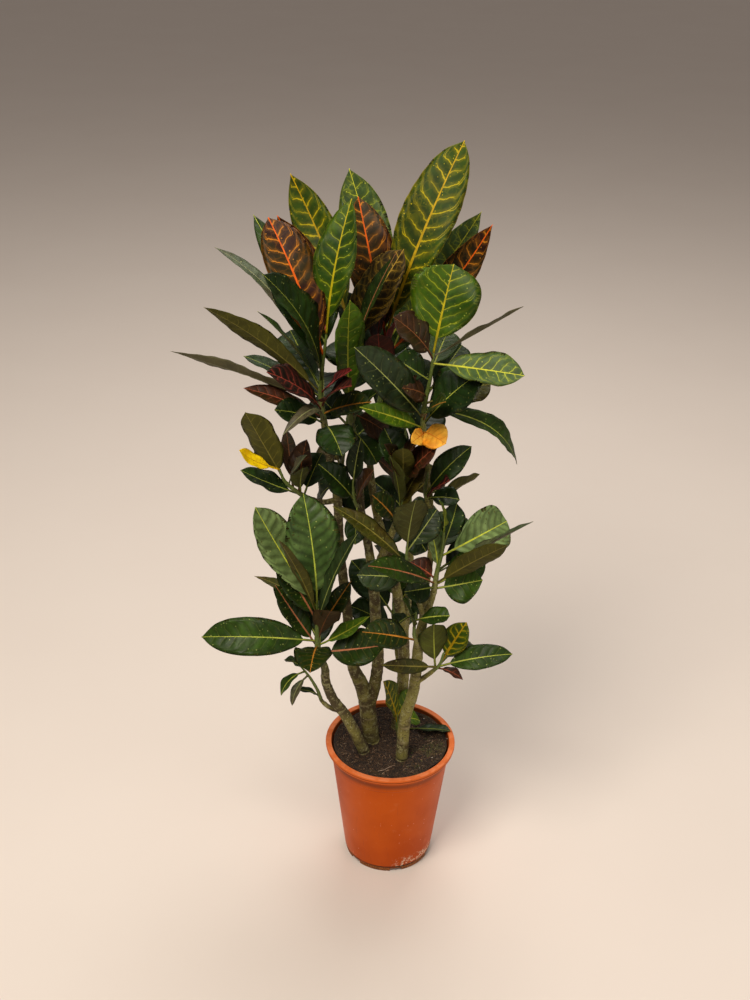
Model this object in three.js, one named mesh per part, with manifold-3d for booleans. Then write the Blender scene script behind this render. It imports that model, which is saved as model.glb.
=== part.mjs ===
// A potted croton about 1.14 m tall: a nursery pot, its soil, four woody trunks and their leafy shoots.
// Millimetres, +Z up. The origin is on the ground under the middle of the pot.

import * as THREE from "three";
import { mergeVertices } from "three/addons/utils/BufferGeometryUtils.js";
import Module from "manifold-3d";

const wasm = await Module();
wasm.setup();

// ---------------------------------------------------------------- driving dimensions

const POT_HEIGHT = 216;
const RIM_RADIUS = 103;
const RIM_DEPTH = 8;
const SHOULDER_RADIUS = 95;
const BASE_RADIUS = 70;
const WALL = 2.6;
const RIM_LIP = 3;
const RIM_GROOVE = 1.8;
const RIM_ROUND = 2;
const RIM_BEVEL = 1;
const FLOOR_UNDERSIDE = 5;
const FLOOR_THICK = 3;
const PAD_RADIUS = 30;
const FOOT_WIDTH = 7;
const FOOT_TAPER = 2;
const FOOT_NOTCHES = 6;
const NOTCH_START = THREE.MathUtils.degToRad(41);
const NOTCH_WIDTH = 20;
const NOTCH_HEIGHT = 6;
const DRAIN_RADIUS = 5;
const DRAIN_RING = 49;
const DRAIN_SIDES = 8;
const POT_SIDES = 24;

const SOIL_LEVEL = 207;
const SOIL_SWELL = 2.5;
const SOIL_EDGE_RISE = 4;
const SOIL_INSET = 1.3;
const SOIL_RINGS = 3;
const CLEAR = 0.3;
const SETTLE_STEP = 0.2;

const STEM_LINE = -12;
const FOOT_DEPTH = 60;
const FOOT_JOIN = 1;
const FOOT_FLARE_SHARE = 0.1;
const WOOD_SIDES = 8;
const STEM_SIDES = 5;

const BLADE_THICK = 0.9;
const NECK_THICK = 2;
const PETIOLE_THICK = 3;
const PETIOLE_HALF = 1.8;
const PETIOLE_LENGTH = 16;
const PETIOLE_SHARE = 0.04;
const PETIOLE_LIMIT = 0.2;
const TWIG_TIP_RADIUS = 1.6;
const FOLD = THREE.MathUtils.degToRad(14);
const RIPPLE = 0.13;
const RIPPLES_PER_LEAF = 1.7;
const ROOT_FULLNESS = 0.8;
const LONG_LEAF = 240;
const SHORT_LEAF = 175;
const TINY_LEAF = 85;
const SEEDS_PER_TRUNK = 100;
const SEEDS_PER_BRANCH = 20;

// The eye that the plant was measured from: its place, its tilt, and its focal length in pixels.
const EYE = { x: -31, y: -1700, z: 1577 };
const EYE_PITCH = THREE.MathUtils.degToRad(28.6);
const EYE_ROLL = THREE.MathUtils.degToRad(1);
const EYE_FOCAL = 1342;
const EYE_MIDDLE = { px: 375, py: 500 };

// ---------------------------------------------------------------- the plant, as measured

// A stem is a list of [px, py, depth]: its middle line in the view, and its depth in mm behind the stem
// line, which runs up just in front of the pot's axis. Its wood ends where its green shoot begins. A leaf is
// [along, tip px, tip py, back, width, roll, bow, point, look]: where it leaves the green stem (0 to 1),
// its tip in the view, how far behind its root the tip lies, its width, its roll about its own length in
// degrees, how far its middle arches above the straight line from root to tip, how pointed it is, and
// the look of its blade.

const TRUNKS = [
  {
    name: "front_left",
    radius: 9,
    branches: [
      {
        wood: [[363.8, 750, -7], [346.5, 717, -14], [333.8, 700, -20], [326, 682, -24], [324.8, 668, -28]],
        radii: [9, 8.6, 7.6, 7, 6],
        shoot: "low_left",
        stem: [[318, 650, -32], [317, 625, -36], [317, 600, -38]],
        leaves: [
          [0.95, 303, 493, 40, 80, -8, 16, 0.65, "glossy"],
          [0.90, 255, 507, 25, 60, -35, -6, 0.5, "silver"],
          [0.62, 358, 533, -35, 42, 45, 8, 0.8, "dusk"],
          [0.70, 276, 557, 30, 46, -30, 8, 0.8, "coral"],
          [0.38, 275, 585, 0, 40, -40, -2, 0.8, "coral"],
          [0.88, 254, 576, 105, 20, 0, 6, 0.8, "olive"],
          [0.46, 201, 637, -20, 58, -50, 28, 0.7, "green"],
          [0.45, 331, 611, -38, 40, -30, 8, 0.6, "umber"],
          [0.40, 370, 616, 10, 30, 10, -4, 1.0, "lime"],
          [0.30, 386, 645, -25, 58, 42, -4, 0.75, "coral"],
          [0.38, 310, 673, -90, 56, 0, 10, 0.7, "amber"],
          [0.56, 351, 581, 25, 30, 45, 4, 0.8, "amber"],
          [0.80, 312, 548, 110, 52, 10, 10, 0.7, "deep"],
          [0.50, 282, 575, 120, 56, -15, 10, 0.7, "deep"],
          [0.25, 316, 596, 130, 48, 15, 10, 0.7, "green"],
          [0.80, 278, 539, -50, 24, 20, 6, 0.9, "olive"],
        ],
      },
      {
        wood: [[341, 711, -16], [331, 708, -19], [322, 701, -22]],
        radii: [4, 3.6, 3],
        shoot: "low_twig",
        stem: [[318, 691, -26], [311, 679, -30], [304, 670, -34]],
        leaves: [
          [0.95, 281, 696, -20, 20, 0, 10, 0.8, "green"],
          [0.80, 292, 706, -30, 14, 0, 10, 0.8, "grey"],
          [0.15, 297, 690, -10, 16, 0, 4, 0.8, "deep"],
          [0.98, 284, 660, 10, 34, 20, 4, 0.8, "green"],
        ],
      },
    ],
  },
  {
    name: "centre",
    radius: 13.5,
    branches: [
      {
        wood: [[371, 738, 24], [365, 694, 20], [352, 662, 22], [347, 610, 28], [340, 550, 34], [337, 495, 32],
          [329, 455, 22], [325, 428, 12]],
        radii: [13.5, 12.5, 8.5, 7.5, 7, 6.5, 5.5, 5],
        shoot: "crown_left",
        stem: [[321, 400, 8], [322, 372, 4], [327, 330, 0]],
        leaves: [
          [0.97, 352, 198, 35, 56, 20, 14, 0.8, "fresh"],
          [0.80, 268, 217, 50, 66, -40, 26, 0.6, "ember"],
          [0.97, 277, 215, 95, 56, -40, -44, 0.7, "ember"],
          [0.90, 253, 214, 165, 38, -30, 0, 0.8, "green"],
          [0.66, 214, 247, 95, 26, -5, 28, 0.8, "grey"],
          [0.55, 262, 274, -62, 74, -50, 20, 0.65, "deep"],
          [0.72, 267, 269, 15, 44, -40, 12, 0.75, "deep"],
          [0.50, 257, 311, 20, 34, 20, 6, 0.8, "green"],
          [0.42, 203, 307, -25, 35, 62, 13, 0.8, "olive"],
          [0.30, 170, 351, -20, 34, 42, 3, 0.8, "grey"],
          [0.36, 243, 356, 45, 32, -10, 6, 0.8, "deep"],
          [0.20, 266, 372, -60, 46, -40, 10, 0.6, "maroon"],
          [0.12, 243, 388, -5, 28, -30, 7, 0.7, "rust"],
          [0.05, 274, 410, -30, 40, -40, 8, 0.6, "deep"],
          [0.08, 282, 436, -75, 18, -20, 32, 0.8, "grey"],
          [0.16, 372, 402, -40, 40, 40, 6, 0.8, "amber"],
          [0.42, 352, 370, -46, 28, 30, 2, 0.8, "red"],
          [0.04, 342, 456, -60, 56, 10, 12, 0.5, "deep"],
          [0.25, 352, 386, -75, 44, 30, 8, 0.7, "maroon"],
          [0.75, 312, 285, 120, 66, -10, 14, 0.7, "green"],
          [0.45, 290, 330, 125, 60, -25, 12, 0.7, "deep"],
          [0.20, 322, 372, 130, 60, 10, 12, 0.7, "deep"],
        ],
      },
      {
        wood: [[368, 710, 22], [374, 688, 20], [378, 660, 18], [376, 624, 16], [374, 590, 15], [369, 550, 16],
          [361, 510, 20], [359, 470, 26], [354, 440, 28]],
        radii: [9.5, 9.5, 9, 8.5, 8, 6.5, 6, 5.5, 5],
        shoot: "crown_mid",
        stem: [[349, 405, 32], [345, 368, 30], [348, 318, 28]],
        leaves: [
          [0.97, 290, 173, 138, 62, -40, -38, 0.7, "gold"],
          [0.80, 404, 249, 14, 64, 40, 2, 0.65, "bronze"],
          [0.50, 397, 252, -22, 36, 35, 10, 0.8, "coral"],
          [0.28, 350, 300, -56, 46, -150, -6, 0.6, "lime"],
          [0.10, 378, 392, -50, 36, 50, 8, 0.7, "deep"],
          [0.10, 377, 464, -10, 40, 40, 8, 0.7, "deep"],
          [0.26, 387, 434, 10, 44, 50, 8, 0.7, "umber"],
        ],
      },
      {
        wood: [[373, 578, 15], [384, 550, 10], [394, 528, 4]],
        radii: [6, 5.5, 5],
        shoot: "mid_centre",
        stem: [[401, 508, 0], [404, 485, -4], [407, 462, -6]],
        leaves: [
          [0.30, 390, 455, -45, 32, -30, 4, 0.8, "deep"],
          [0.50, 403, 448, -60, 32, 0, 6, 0.7, "olive"],
          [0.10, 372, 495, -20, 40, -60, 4, 0.7, "amber"],
          [0.85, 419, 440, -14, 48, 40, 6, 0.7, "umber"],
          [0.70, 438, 446, -30, 46, 50, 6, 0.7, "rust"],
          [0.75, 384, 428, 25, 44, -30, 8, 0.7, "deep"],
          [0.62, 384, 444, -22, 36, -50, 4, 0.7, "umber"],
          [0.22, 426, 462, -12, 40, 50, 6, 0.6, "olive"],
        ],
      },
      {
        wood: [[337, 500, 32], [322, 502, 24], [306, 497, 14]],
        radii: [4.5, 4, 3.6],
        shoot: "mid_left",
        stem: [[292, 488, 8], [284, 480, 4], [279, 468, 0]],
        leaves: [
          [0.62, 245, 412, -5, 52, 65, 0, 0.65, "olive"],
          [0.10, 240, 470, -12, 38, -20, -3, 0.8, "deep"],
          [0.30, 286, 429, 70, 22, 0, 4, 0.8, "umber"],
          [0.16, 307, 439, 18, 38, 0, 4, 0.8, "umber"],
          [0.45, 307, 455, -15, 24, 30, 4, 0.8, "grey"],
          [0.12, 303, 468, -50, 28, 20, 4, 0.8, "deep"],
          [0.75, 266, 446, 120, 48, -10, 8, 0.7, "deep"],
          [0.05, 322, 453, 40, 54, 0, 2, 0.6, "deep"],
        ],
        dying: { node: "leaf_yellow", look: "yellow", blades: [[0.97, 239, 450, -45, 22, -50, -8, 0.7]] },
      },
      {
        wood: [[361, 512, 20], [358, 507, 12]],
        radii: [4, 3.6],
        shoot: "mid_inner",
        stem: [[354, 498, 4], [353, 480, 0]],
        leaves: [
          [0.30, 318, 464, -30, 44, -60, 6, 0.8, "deep"],
          [0.80, 361, 438, 0, 28, 60, 4, 0.8, "dusk"],
          [0.10, 374, 470, -30, 34, 65, 6, 0.7, "umber"],
          [0.09, 355, 545, -38, 32, 0, 4, 0.7, "deep"],
        ],
      },
      {
        wood: [[341, 560, 33], [338, 525, 60], [340, 485, 80]],
        radii: [5, 4.5, 4],
        shoot: "rear_left",
        stem: [[344, 445, 90], [350, 405, 95], [354, 368, 95]],
        leaves: [
          [0.90, 340, 340, 60, 60, -20, 12, 0.7, "green"],
          [0.97, 340, 290, 10, 62, -10, 8, 0.6, "deep"],
          [0.70, 362, 345, 70, 52, 20, 12, 0.7, "deep"],
          [0.50, 318, 395, 50, 56, -40, 10, 0.7, "deep"],
          [0.30, 376, 420, 60, 56, 35, 10, 0.7, "deep"],
          [0.15, 330, 440, 45, 50, -30, 8, 0.7, "olive"],
          [0.05, 358, 425, -10, 44, 20, 8, 0.7, "deep"],
          [0.10, 362, 512, -20, 66, 20, 8, 0.6, "deep"],
          [0.03, 318, 505, 10, 50, -20, 8, 0.7, "deep"],
        ],
      },
    ],
  },
  {
    name: "rear",
    radius: 10,
    branches: [
      {
        wood: [[397, 725, 59], [402, 690, 56], [404, 650, 56], [400, 610, 56], [390, 560, 56], [376, 510, 58],
          [370, 460, 60]],
        radii: [10, 9.5, 9, 8, 7, 6, 5],
        shoot: "crown_centre",
        stem: [[376, 420, 60], [384, 375, 60], [388, 325, 58]],
        leaves: [
          [0.97, 465, 140, 70, 76, 35, 20, 0.6, "gold"],
          [0.97, 349, 168, 120, 72, -35, -26, 0.65, "pale"],
          [0.88, 358, 196, 60, 68, -30, 12, 0.7, "ember"],
          [0.90, 482, 211, 95, 50, 30, -12, 0.8, "pale"],
          [0.80, 493, 224, 30, 52, 45, -24, 0.75, "ember"],
          [0.60, 402, 251, -10, 44, 45, 18, 0.8, "maroon"],
          [0.50, 378, 334, -55, 42, 0, 10, 0.6, "maroon"],
          [0.66, 400, 312, -40, 26, 40, 4, 0.8, "red"],
          [0.70, 420, 285, 120, 64, 20, 14, 0.7, "green"],
          [0.60, 384, 292, 125, 60, -20, 14, 0.7, "deep"],
          [0.30, 408, 345, 120, 56, 5, 12, 0.7, "deep"],
          [0.15, 430, 380, 35, 52, 30, 10, 0.7, "green"],
        ],
      },
      {
        wood: [[404, 640, 56], [409, 590, 72], [411, 545, 88]],
        radii: [6, 5, 4.4],
        shoot: "rear_right",
        stem: [[410, 505, 98], [407, 465, 104], [405, 425, 104]],
        leaves: [
          [0.95, 390, 362, 80, 60, -10, 12, 0.7, "green"],
          [0.80, 436, 410, 60, 58, 25, 12, 0.7, "deep"],
          [0.60, 380, 420, 50, 56, -35, 10, 0.7, "deep"],
          [0.40, 440, 470, 40, 52, 40, 8, 0.7, "olive"],
          [0.25, 372, 480, 45, 52, -40, 8, 0.7, "deep"],
          [0.05, 428, 500, 70, 48, 30, 8, 0.7, "deep"],
          [0.10, 380, 535, 0, 54, -30, 8, 0.7, "deep"],
          [0.08, 426, 552, -20, 56, 20, 8, 0.7, "deep"],
          [0.36, 376, 458, -28, 50, -40, 8, 0.7, "umber"],
        ],
      },
      {
        wood: [[402, 690, 56], [399, 664, 76], [396, 645, 88]],
        radii: [5, 4.2, 3.6],
        shoot: "rear_low",
        stem: [[394, 625, 96], [393, 600, 100]],
        leaves: [
          [0.90, 398, 550, 50, 54, 0, 10, 0.7, "green"],
          [0.70, 351, 560, 30, 58, -35, 8, 0.6, "deep"],
          [0.50, 426, 585, 40, 48, 35, 8, 0.7, "deep"],
          [0.20, 408, 610, 90, 44, 10, 8, 0.7, "green"],
          [0.40, 350, 606, -10, 56, -40, 8, 0.6, "deep"],
          [0.60, 424, 560, 24, 46, 30, 8, 0.7, "deep"],
          [0.95, 374, 545, -24, 46, -30, 8, 0.7, "deep"],
        ],
      },
    ],
  },
  {
    name: "front_right",
    radius: 9.5,
    branches: [
      {
        wood: [[401.7, 757, -22], [405, 719, -24], [414, 688, -28], [418, 649, -32], [422, 626, -34],
          [430, 604, -36], [434, 590, -37]],
        radii: [9.5, 9, 8.6, 8, 7, 5, 4.5],
        shoot: "right_mid",
        stem: [[437, 572, -38], [442, 552, -40], [444, 530, -42]],
        leaves: [
          [0.60, 507, 521, 60, 68, 50, 14, 0.45, "silver"],
          [0.32, 534, 521, -22, 36, -12, 0, 1.0, "grey"],
          [0.12, 508, 545, -84, 34, -60, 4, 0.8, "olive"],
          [0.10, 485, 559, 34, 48, 45, 6, 0.7, "green"],
          [0.03, 483, 580, -16, 60, 50, -2, 0.8, "green"],
          [0.12, 368, 566, -85, 40, -40, 8, 0.7, "coral"],
          [0.20, 410, 562, 10, 34, -30, 4, 0.8, "rust"],
          [0.97, 439, 500, -5, 24, -20, 4, 0.8, "lime"],
          [0.75, 457, 503, 45, 36, 40, 4, 0.8, "deep"],
          [0.36, 430, 528, 4, 26, -30, 4, 0.8, "silver"],
          [0.06, 404, 592, -45, 40, -60, 4, 0.6, "deep"],
          [0.60, 452, 515, 115, 56, 15, 10, 0.7, "green"],
          [0.35, 478, 545, 105, 50, 35, 10, 0.7, "deep"],
        ],
      },
      {
        wood: [[421, 636, -34], [424, 600, -14], [431, 550, 6], [430, 500, 14], [424, 440, 8]],
        radii: [5, 5, 4.8, 4.6, 4.4],
        shoot: "crown_right",
        stem: [[424, 410, 2], [430, 380, -4], [434, 350, -8]],
        leaves: [
          [0.97, 454, 264, 30, 98, 25, 6, 0.52, "fresh"],
          [0.93, 524, 306, 20, 28, -34, -1, 0.8, "grey"],
          [0.85, 525, 376, -35, 52, 35, 2, 0.6, "pale"],
          [0.90, 393, 317, -15, 54, -45, 8, 0.7, "umber"],
          [0.14, 487, 368, -25, 70, 50, 10, 0.6, "deep"],
          [0.40, 491, 384, 40, 50, 40, 8, 0.7, "olive"],
          [0.34, 517, 465, 45, 40, 30, 34, 0.8, "green"],
          [0.22, 354, 347, -45, 58, -75, 10, 0.65, "dusk"],
          [0.10, 359, 407, -70, 28, -60, 6, 0.8, "lime"],
          [0.20, 446, 402, -75, 36, 40, 6, 0.7, "amber"],
          [0.66, 395, 358, 16, 48, -60, 6, 0.7, "deep"],
          [0.48, 402, 388, -22, 38, -50, 6, 0.7, "umber"],
          [0.75, 448, 332, 98, 52, 10, 6, 0.7, "green"],
          [0.50, 462, 345, 115, 50, 30, 12, 0.7, "deep"],
          [0.35, 412, 362, 110, 56, -20, 12, 0.7, "deep"],
        ],
        dying: {
          node: "leaf_orange",
          look: "orange",
          blades: [[0.06, 446, 444, -48, 40, 40, 8, 0.5], [0.06, 411, 443, -46, 24, -50, 6, 0.6]],
        },
      },
      {
        wood: [[430, 512, 12], [427, 500, 4]],
        radii: [3.8, 3.4],
        shoot: "mid_right",
        stem: [[425, 490, 0], [428, 472, -4]],
        leaves: [
          [0.24, 472, 446, 4, 38, 50, 16, 0.7, "deep"],
          [0.06, 480, 474, 34, 34, -60, -4, 0.7, "olive"],
          [0.10, 450, 481, -35, 32, 30, 4, 0.7, "maroon"],
          [0.05, 460, 500, -10, 34, 30, 6, 0.7, "deep"],
        ],
      },
      {
        wood: [[424, 616, -35], [418, 600, -44], [412, 580, -50]],
        radii: [4, 3.8, 3.4],
        shoot: "front_mid",
        stem: [[407, 562, -54], [407, 545, -58]],
        leaves: [
          [0.75, 416, 500, -35, 50, 0, 6, 0.7, "dusk"],
          [0.80, 437, 509, 25, 44, 50, 6, 0.7, "dusk"],
          [0.40, 332, 506, 10, 30, -30, 12, 0.8, "olive"],
          [0.06, 357, 575, -14, 46, -55, 6, 0.6, "dusk"],
        ],
      },
      {
        wood: [[418, 647, -36], [416, 641, -44]],
        radii: [4, 3.4],
        shoot: "fork_leaves",
        stem: [[414, 632, -52], [416, 612, -58]],
        leaves: [
          [0.05, 362, 632, -50, 46, -50, 6, 0.7, "amber"],
          [0.50, 402, 599, -22, 34, -40, 4, 0.8, "green"],
          [0.80, 450, 616, -20, 30, 30, 4, 0.4, "green"],
          [0.95, 388, 640, 34, 44, -30, 8, 0.6, "deep"],
        ],
      },
      {
        wood: [[417, 682, -29], [426, 676, -34], [434, 670, -38]],
        radii: [4, 3.6, 3],
        shoot: "low_right",
        stem: [[440, 664, -40], [444, 652, -42]],
        leaves: [
          [0.60, 467, 622, 15, 40, 40, 2, 0.8, "gold"],
          [0.30, 513, 654, -5, 38, 40, 12, 0.75, "green"],
          [0.20, 463, 680, -10, 20, 0, 4, 0.8, "rust"],
          [0.10, 434, 624, -20, 44, 30, 4, 0.7, "green"],
          [0.30, 381, 665, -32, 22, -60, 6, 0.8, "olive"],
          [0.50, 468, 640, 85, 44, 20, 8, 0.7, "deep"],
        ],
      },
    ],
  },
  {
    name: "sucker",
    radius: 4,
    branches: [
      {
        wood: [[399, 738, 22], [398, 731, 20]],
        radii: [4, 3.6],
        shoot: "sucker",
        stem: [[397, 724, 18], [397, 714, 16]],
        leaves: [
          [0.50, 383, 681, -14, 44, -50, 4, 0.7, "gold"],
          [0.90, 411, 689, 30, 30, 45, 4, 0.7, "fresh"],
          [0.55, 420, 721, 8, 26, 20, 10, 0.7, "lime"],
        ],
      },
    ],
  },
];

// The fallen leaf: its root lies on the soil and its tip on the rim. Its two ends as seen in the view.
const FALLEN_LEAF = { from: [410, 729], to: [451, 731], width: 26, roll: -10, bow: 2, point: 0.7, seed: 7 };

// ---------------------------------------------------------------- small helpers

const UP = new THREE.Vector3(0, 0, 1);

// The direction of the line of sight through a pixel.
function sight(px, py) {
  const u = (px - EYE_MIDDLE.px) / EYE_FOCAL;
  const v = (EYE_MIDDLE.py - py) / EYE_FOCAL;
  const across = u * Math.cos(EYE_ROLL) - v * Math.sin(EYE_ROLL);
  const upward = u * Math.sin(EYE_ROLL) + v * Math.cos(EYE_ROLL);
  const forward = Math.cos(EYE_PITCH) + upward * Math.sin(EYE_PITCH);
  const climb = upward * Math.cos(EYE_PITCH) - Math.sin(EYE_PITCH);
  return new THREE.Vector3(across, forward, climb);
}

// The point that the view shows at a pixel, at a given depth behind the stem line.
function seen([px, py, depth]) {
  const line = sight(px, py);
  return line.multiplyScalar((STEM_LINE + depth - EYE.y) / line.y).add(EYE);
}

// The point that the view shows at a pixel, at a given height.
function seenAtHeight([px, py], height) {
  const line = sight(px, py);
  return line.multiplyScalar((height - EYE.z) / line.z).add(EYE);
}

// A repeatable draw between 0 and 1.
function chance(seed) {
  const value = Math.sin(seed * 12.9898 + 4.1414) * 43758.5453;
  return value - Math.floor(value);
}

function geometryFrom(points, faces) {
  const geometry = new THREE.BufferGeometry();
  const coordinates = points.flatMap((p) => [p.x, p.y, p.z]);
  geometry.setAttribute("position", new THREE.Float32BufferAttribute(coordinates, 3));
  geometry.setIndex(faces.flat());
  return geometry;
}

// A solid for cutting and joining. Faces that were listed inside out are turned round.
function solidFrom(geometry) {
  const bare = geometry.clone();
  bare.deleteAttribute("normal");
  bare.deleteAttribute("uv");
  const merged = mergeVertices(bare, 1e-4);
  const triVerts = new Uint32Array(merged.index.array);
  const vertProperties = new Float32Array(merged.attributes.position.array);
  const solid = new wasm.Manifold(new wasm.Mesh({ numProp: 3, vertProperties, triVerts }));
  if (solid.volume() > 0) {
    return solid;
  }
  for (let i = 0; i < triVerts.length; i += 3) {
    [triVerts[i], triVerts[i + 1]] = [triVerts[i + 1], triVerts[i]];
  }
  return new wasm.Manifold(new wasm.Mesh({ numProp: 3, vertProperties, triVerts }));
}

function joined(solids) {
  return solids.reduce((whole, solid) => whole.add(solid));
}

// The main piece of a solid that a cut has left in several, without its scraps.
function mainPiece(solid) {
  return solid.decompose().reduce((main, piece) => (piece.volume() > main.volume() ? piece : main));
}

function geometryOf(solid) {
  const mesh = solid.getMesh();
  const geometry = new THREE.BufferGeometry();
  geometry.setAttribute("position", new THREE.BufferAttribute(new Float32Array(mesh.vertProperties), 3));
  geometry.setIndex(new THREE.BufferAttribute(new Uint32Array(mesh.triVerts), 1));
  return geometry;
}

// ---------------------------------------------------------------- stems

// A tapered round solid along a curve from one parameter to another, flat at both ends.
function tapered(curve, from, to, radiusAt, sides, steps, inset = 0) {
  const points = [];
  const faces = [];
  for (let i = 0; i <= steps; i++) {
    const t = from + (to - from) * (i / steps);
    const along = curve.getTangent(t);
    const middle = curve.getPoint(t);
    if (i === 0) {
      middle.addScaledVector(along, inset);
    }
    const side = new THREE.Vector3(0, 1, 0).cross(along).normalize();
    const front = new THREE.Vector3().crossVectors(along, side);
    for (let j = 0; j < sides; j++) {
      const angle = (2 * Math.PI * j) / sides;
      points.push(
        middle.clone()
          .addScaledVector(side, radiusAt(t) * Math.cos(angle))
          .addScaledVector(front, radiusAt(t) * Math.sin(angle)),
      );
    }
  }
  for (let i = 0; i < steps; i++) {
    for (let j = 0; j < sides; j++) {
      const a = i * sides + j;
      const b = i * sides + ((j + 1) % sides);
      faces.push([a, b, b + sides], [a, b + sides, a + sides]);
    }
  }
  for (let j = 1; j < sides - 1; j++) {
    const top = steps * sides;
    faces.push([0, j + 1, j], [top, top + j, top + j + 1]);
  }
  return solidFrom(geometryFrom(points, faces));
}

// One branch: its curve, where its wood ends, and its radius all along.
function growBranch(branch) {
  const points = [...branch.wood, ...branch.stem].map(seen);
  const curve = new THREE.CatmullRomCurve3(points, false, "catmullrom", 0.5);
  const spans = points.length - 1;
  const woodSpans = branch.wood.length - 1;
  const radii = [...branch.radii];
  const stemSpans = spans - woodSpans;
  for (let i = 1; i <= stemSpans; i++) {
    radii.push(THREE.MathUtils.lerp(branch.radii[woodSpans], TWIG_TIP_RADIUS, i / stemSpans));
  }
  const radiusAt = (t) => {
    const i = Math.min(Math.floor(t * spans), spans - 1);
    return THREE.MathUtils.lerp(radii[i], radii[i + 1], t * spans - i);
  };
  return { curve, radiusAt, split: woodSpans / spans, woodSpans, stemSpans };
}

function foot(point, radius, depth) {
  const bottom = point.clone().setZ(point.z - depth);
  const top = point.clone().setZ(point.z + FOOT_JOIN);
  return tapered(new THREE.LineCurve3(bottom, top), 0, 1, () => radius, WOOD_SIDES, 1);
}

// ---------------------------------------------------------------- leaves

// Half the width of a blade as a share of the widest, from its root (0) to its tip (1).
function outline(u, point) {
  const swell = (t) => Math.pow(t, ROOT_FULLNESS) * Math.pow(1 - t, point);
  return swell(u) / swell(ROOT_FULLNESS / (ROOT_FULLNESS + point));
}

// Where a leaf leaves its stem, and its tip.
function leafEnds({ curve, split }, [along, px, py, back]) {
  const root = curve.getPoint(split + (1 - split) * along);
  return [root, seen([px, py, root.y - STEM_LINE + back])];
}

function frameOf(base, tip, roll, bow) {
  const chord = tip.clone().sub(base);
  const along = chord.clone().normalize();
  const up = UP.clone().addScaledVector(along, -UP.dot(along)).normalize();
  up.applyAxisAngle(along, THREE.MathUtils.degToRad(roll));
  const side = new THREE.Vector3().crossVectors(along, up);
  return { base, chord, up, side, bow };
}

// The middle line of a leaf at s, with its face's own up direction there.
function midrib(frame, s) {
  const place = frame.base.clone()
    .addScaledVector(frame.chord, s)
    .addScaledVector(frame.up, frame.bow * 4 * s * (1 - s));
  const along = frame.chord.clone().addScaledVector(frame.up, frame.bow * 4 * (1 - 2 * s)).normalize();
  const up = new THREE.Vector3().crossVectors(frame.side, along);
  return { place, up };
}

function spansFor(length) {
  if (length > LONG_LEAF) {
    return 5;
  }
  if (length > SHORT_LEAF) {
    return 4;
  }
  return length > TINY_LEAF ? 3 : 2;
}

// A leaf from its root inside the stem to its tip: a folded, rippled blade split alike on both faces.
// Its cross-sections are the root, the neck where the blade begins, and one for each span of the blade.
function leafSolid(base, tip, width, roll, bow, point, seed) {
  const frame = frameOf(base, tip, roll, bow);
  const length = frame.chord.length();
  const petiole = Math.min(PETIOLE_LIMIT, PETIOLE_LENGTH / length + PETIOLE_SHARE);
  const spans = spansFor(length);
  const points = [];
  const faces = [];
  const phase = chance(seed);
  const lag = (1 + chance(seed + 0.5)) / 8;
  const section = (s, u, thick, fold) => {
    const { place, up } = midrib(frame, s);
    const shape = outline(u, point);
    const half = PETIOLE_HALF * (1 - u) + 0.5 * width * shape;
    const row = [-1, 0, 1].map((hand) => {
      const wave = Math.sin(2 * Math.PI * (RIPPLES_PER_LEAF * u + phase + hand * lag));
      const lift = Math.abs(hand) * (half * Math.sin(fold) + RIPPLE * 0.5 * width * shape * wave);
      return place.clone()
        .addScaledVector(frame.side, hand * half * Math.cos(fold))
        .addScaledVector(up, lift + 0.5 * thick);
    });
    const under = row.map((p) => p.clone().addScaledVector(up, -thick));
    points.push(...row, ...under.reverse());
  };
  section(0, 0, PETIOLE_THICK, 0);
  for (let i = 0; i < spans; i++) {
    const u = i / spans;
    section(petiole + (1 - petiole) * u, u, i === 0 ? NECK_THICK : BLADE_THICK, FOLD);
  }
  const rings = spans + 1;
  for (let i = 0; i < rings - 1; i++) {
    const a = 6 * i;
    const b = a + 6;
    faces.push([a, a + 1, b], [a + 1, b + 1, b], [a + 1, a + 2, b + 2], [a + 1, b + 2, b + 1]);
    faces.push([a + 5, b + 5, a + 4], [a + 4, b + 5, b + 4], [a + 4, b + 3, a + 3], [a + 4, b + 4, b + 3]);
    faces.push([a + 5, a, b], [a + 5, b, b + 5], [a + 2, a + 3, b + 3], [a + 2, b + 3, b + 2]);
  }
  const last = 6 * (rings - 1);
  const end = midrib(frame, 1);
  const tipTop = points.length;
  points.push(end.place.clone().addScaledVector(end.up, 0.5 * BLADE_THICK));
  points.push(end.place.clone().addScaledVector(end.up, -0.5 * BLADE_THICK));
  const tipUnder = tipTop + 1;
  faces.push([last, last + 1, tipTop], [last + 1, last + 2, tipTop]);
  faces.push([last + 5, tipUnder, last + 4], [last + 4, tipUnder, last + 3]);
  faces.push([last + 5, last, tipTop], [last + 5, tipTop, tipUnder]);
  faces.push([last + 2, last + 3, tipUnder], [last + 2, tipUnder, tipTop]);
  faces.push([0, 5, 4], [0, 4, 1], [1, 4, 3], [1, 3, 2]);
  return solidFrom(geometryFrom(points, faces));
}

// ---------------------------------------------------------------- the pot and its soil

function latheSolid(profile, sides) {
  const closed = [...profile, profile[0]].map(([r, z]) => new THREE.Vector2(r, z));
  const geometry = new THREE.LatheGeometry(closed, sides);
  geometry.rotateX(Math.PI / 2);
  return solidFrom(geometry);
}

function wallRadius(z) {
  return THREE.MathUtils.lerp(BASE_RADIUS, SHOULDER_RADIUS, z / (POT_HEIGHT - RIM_DEPTH));
}

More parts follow.
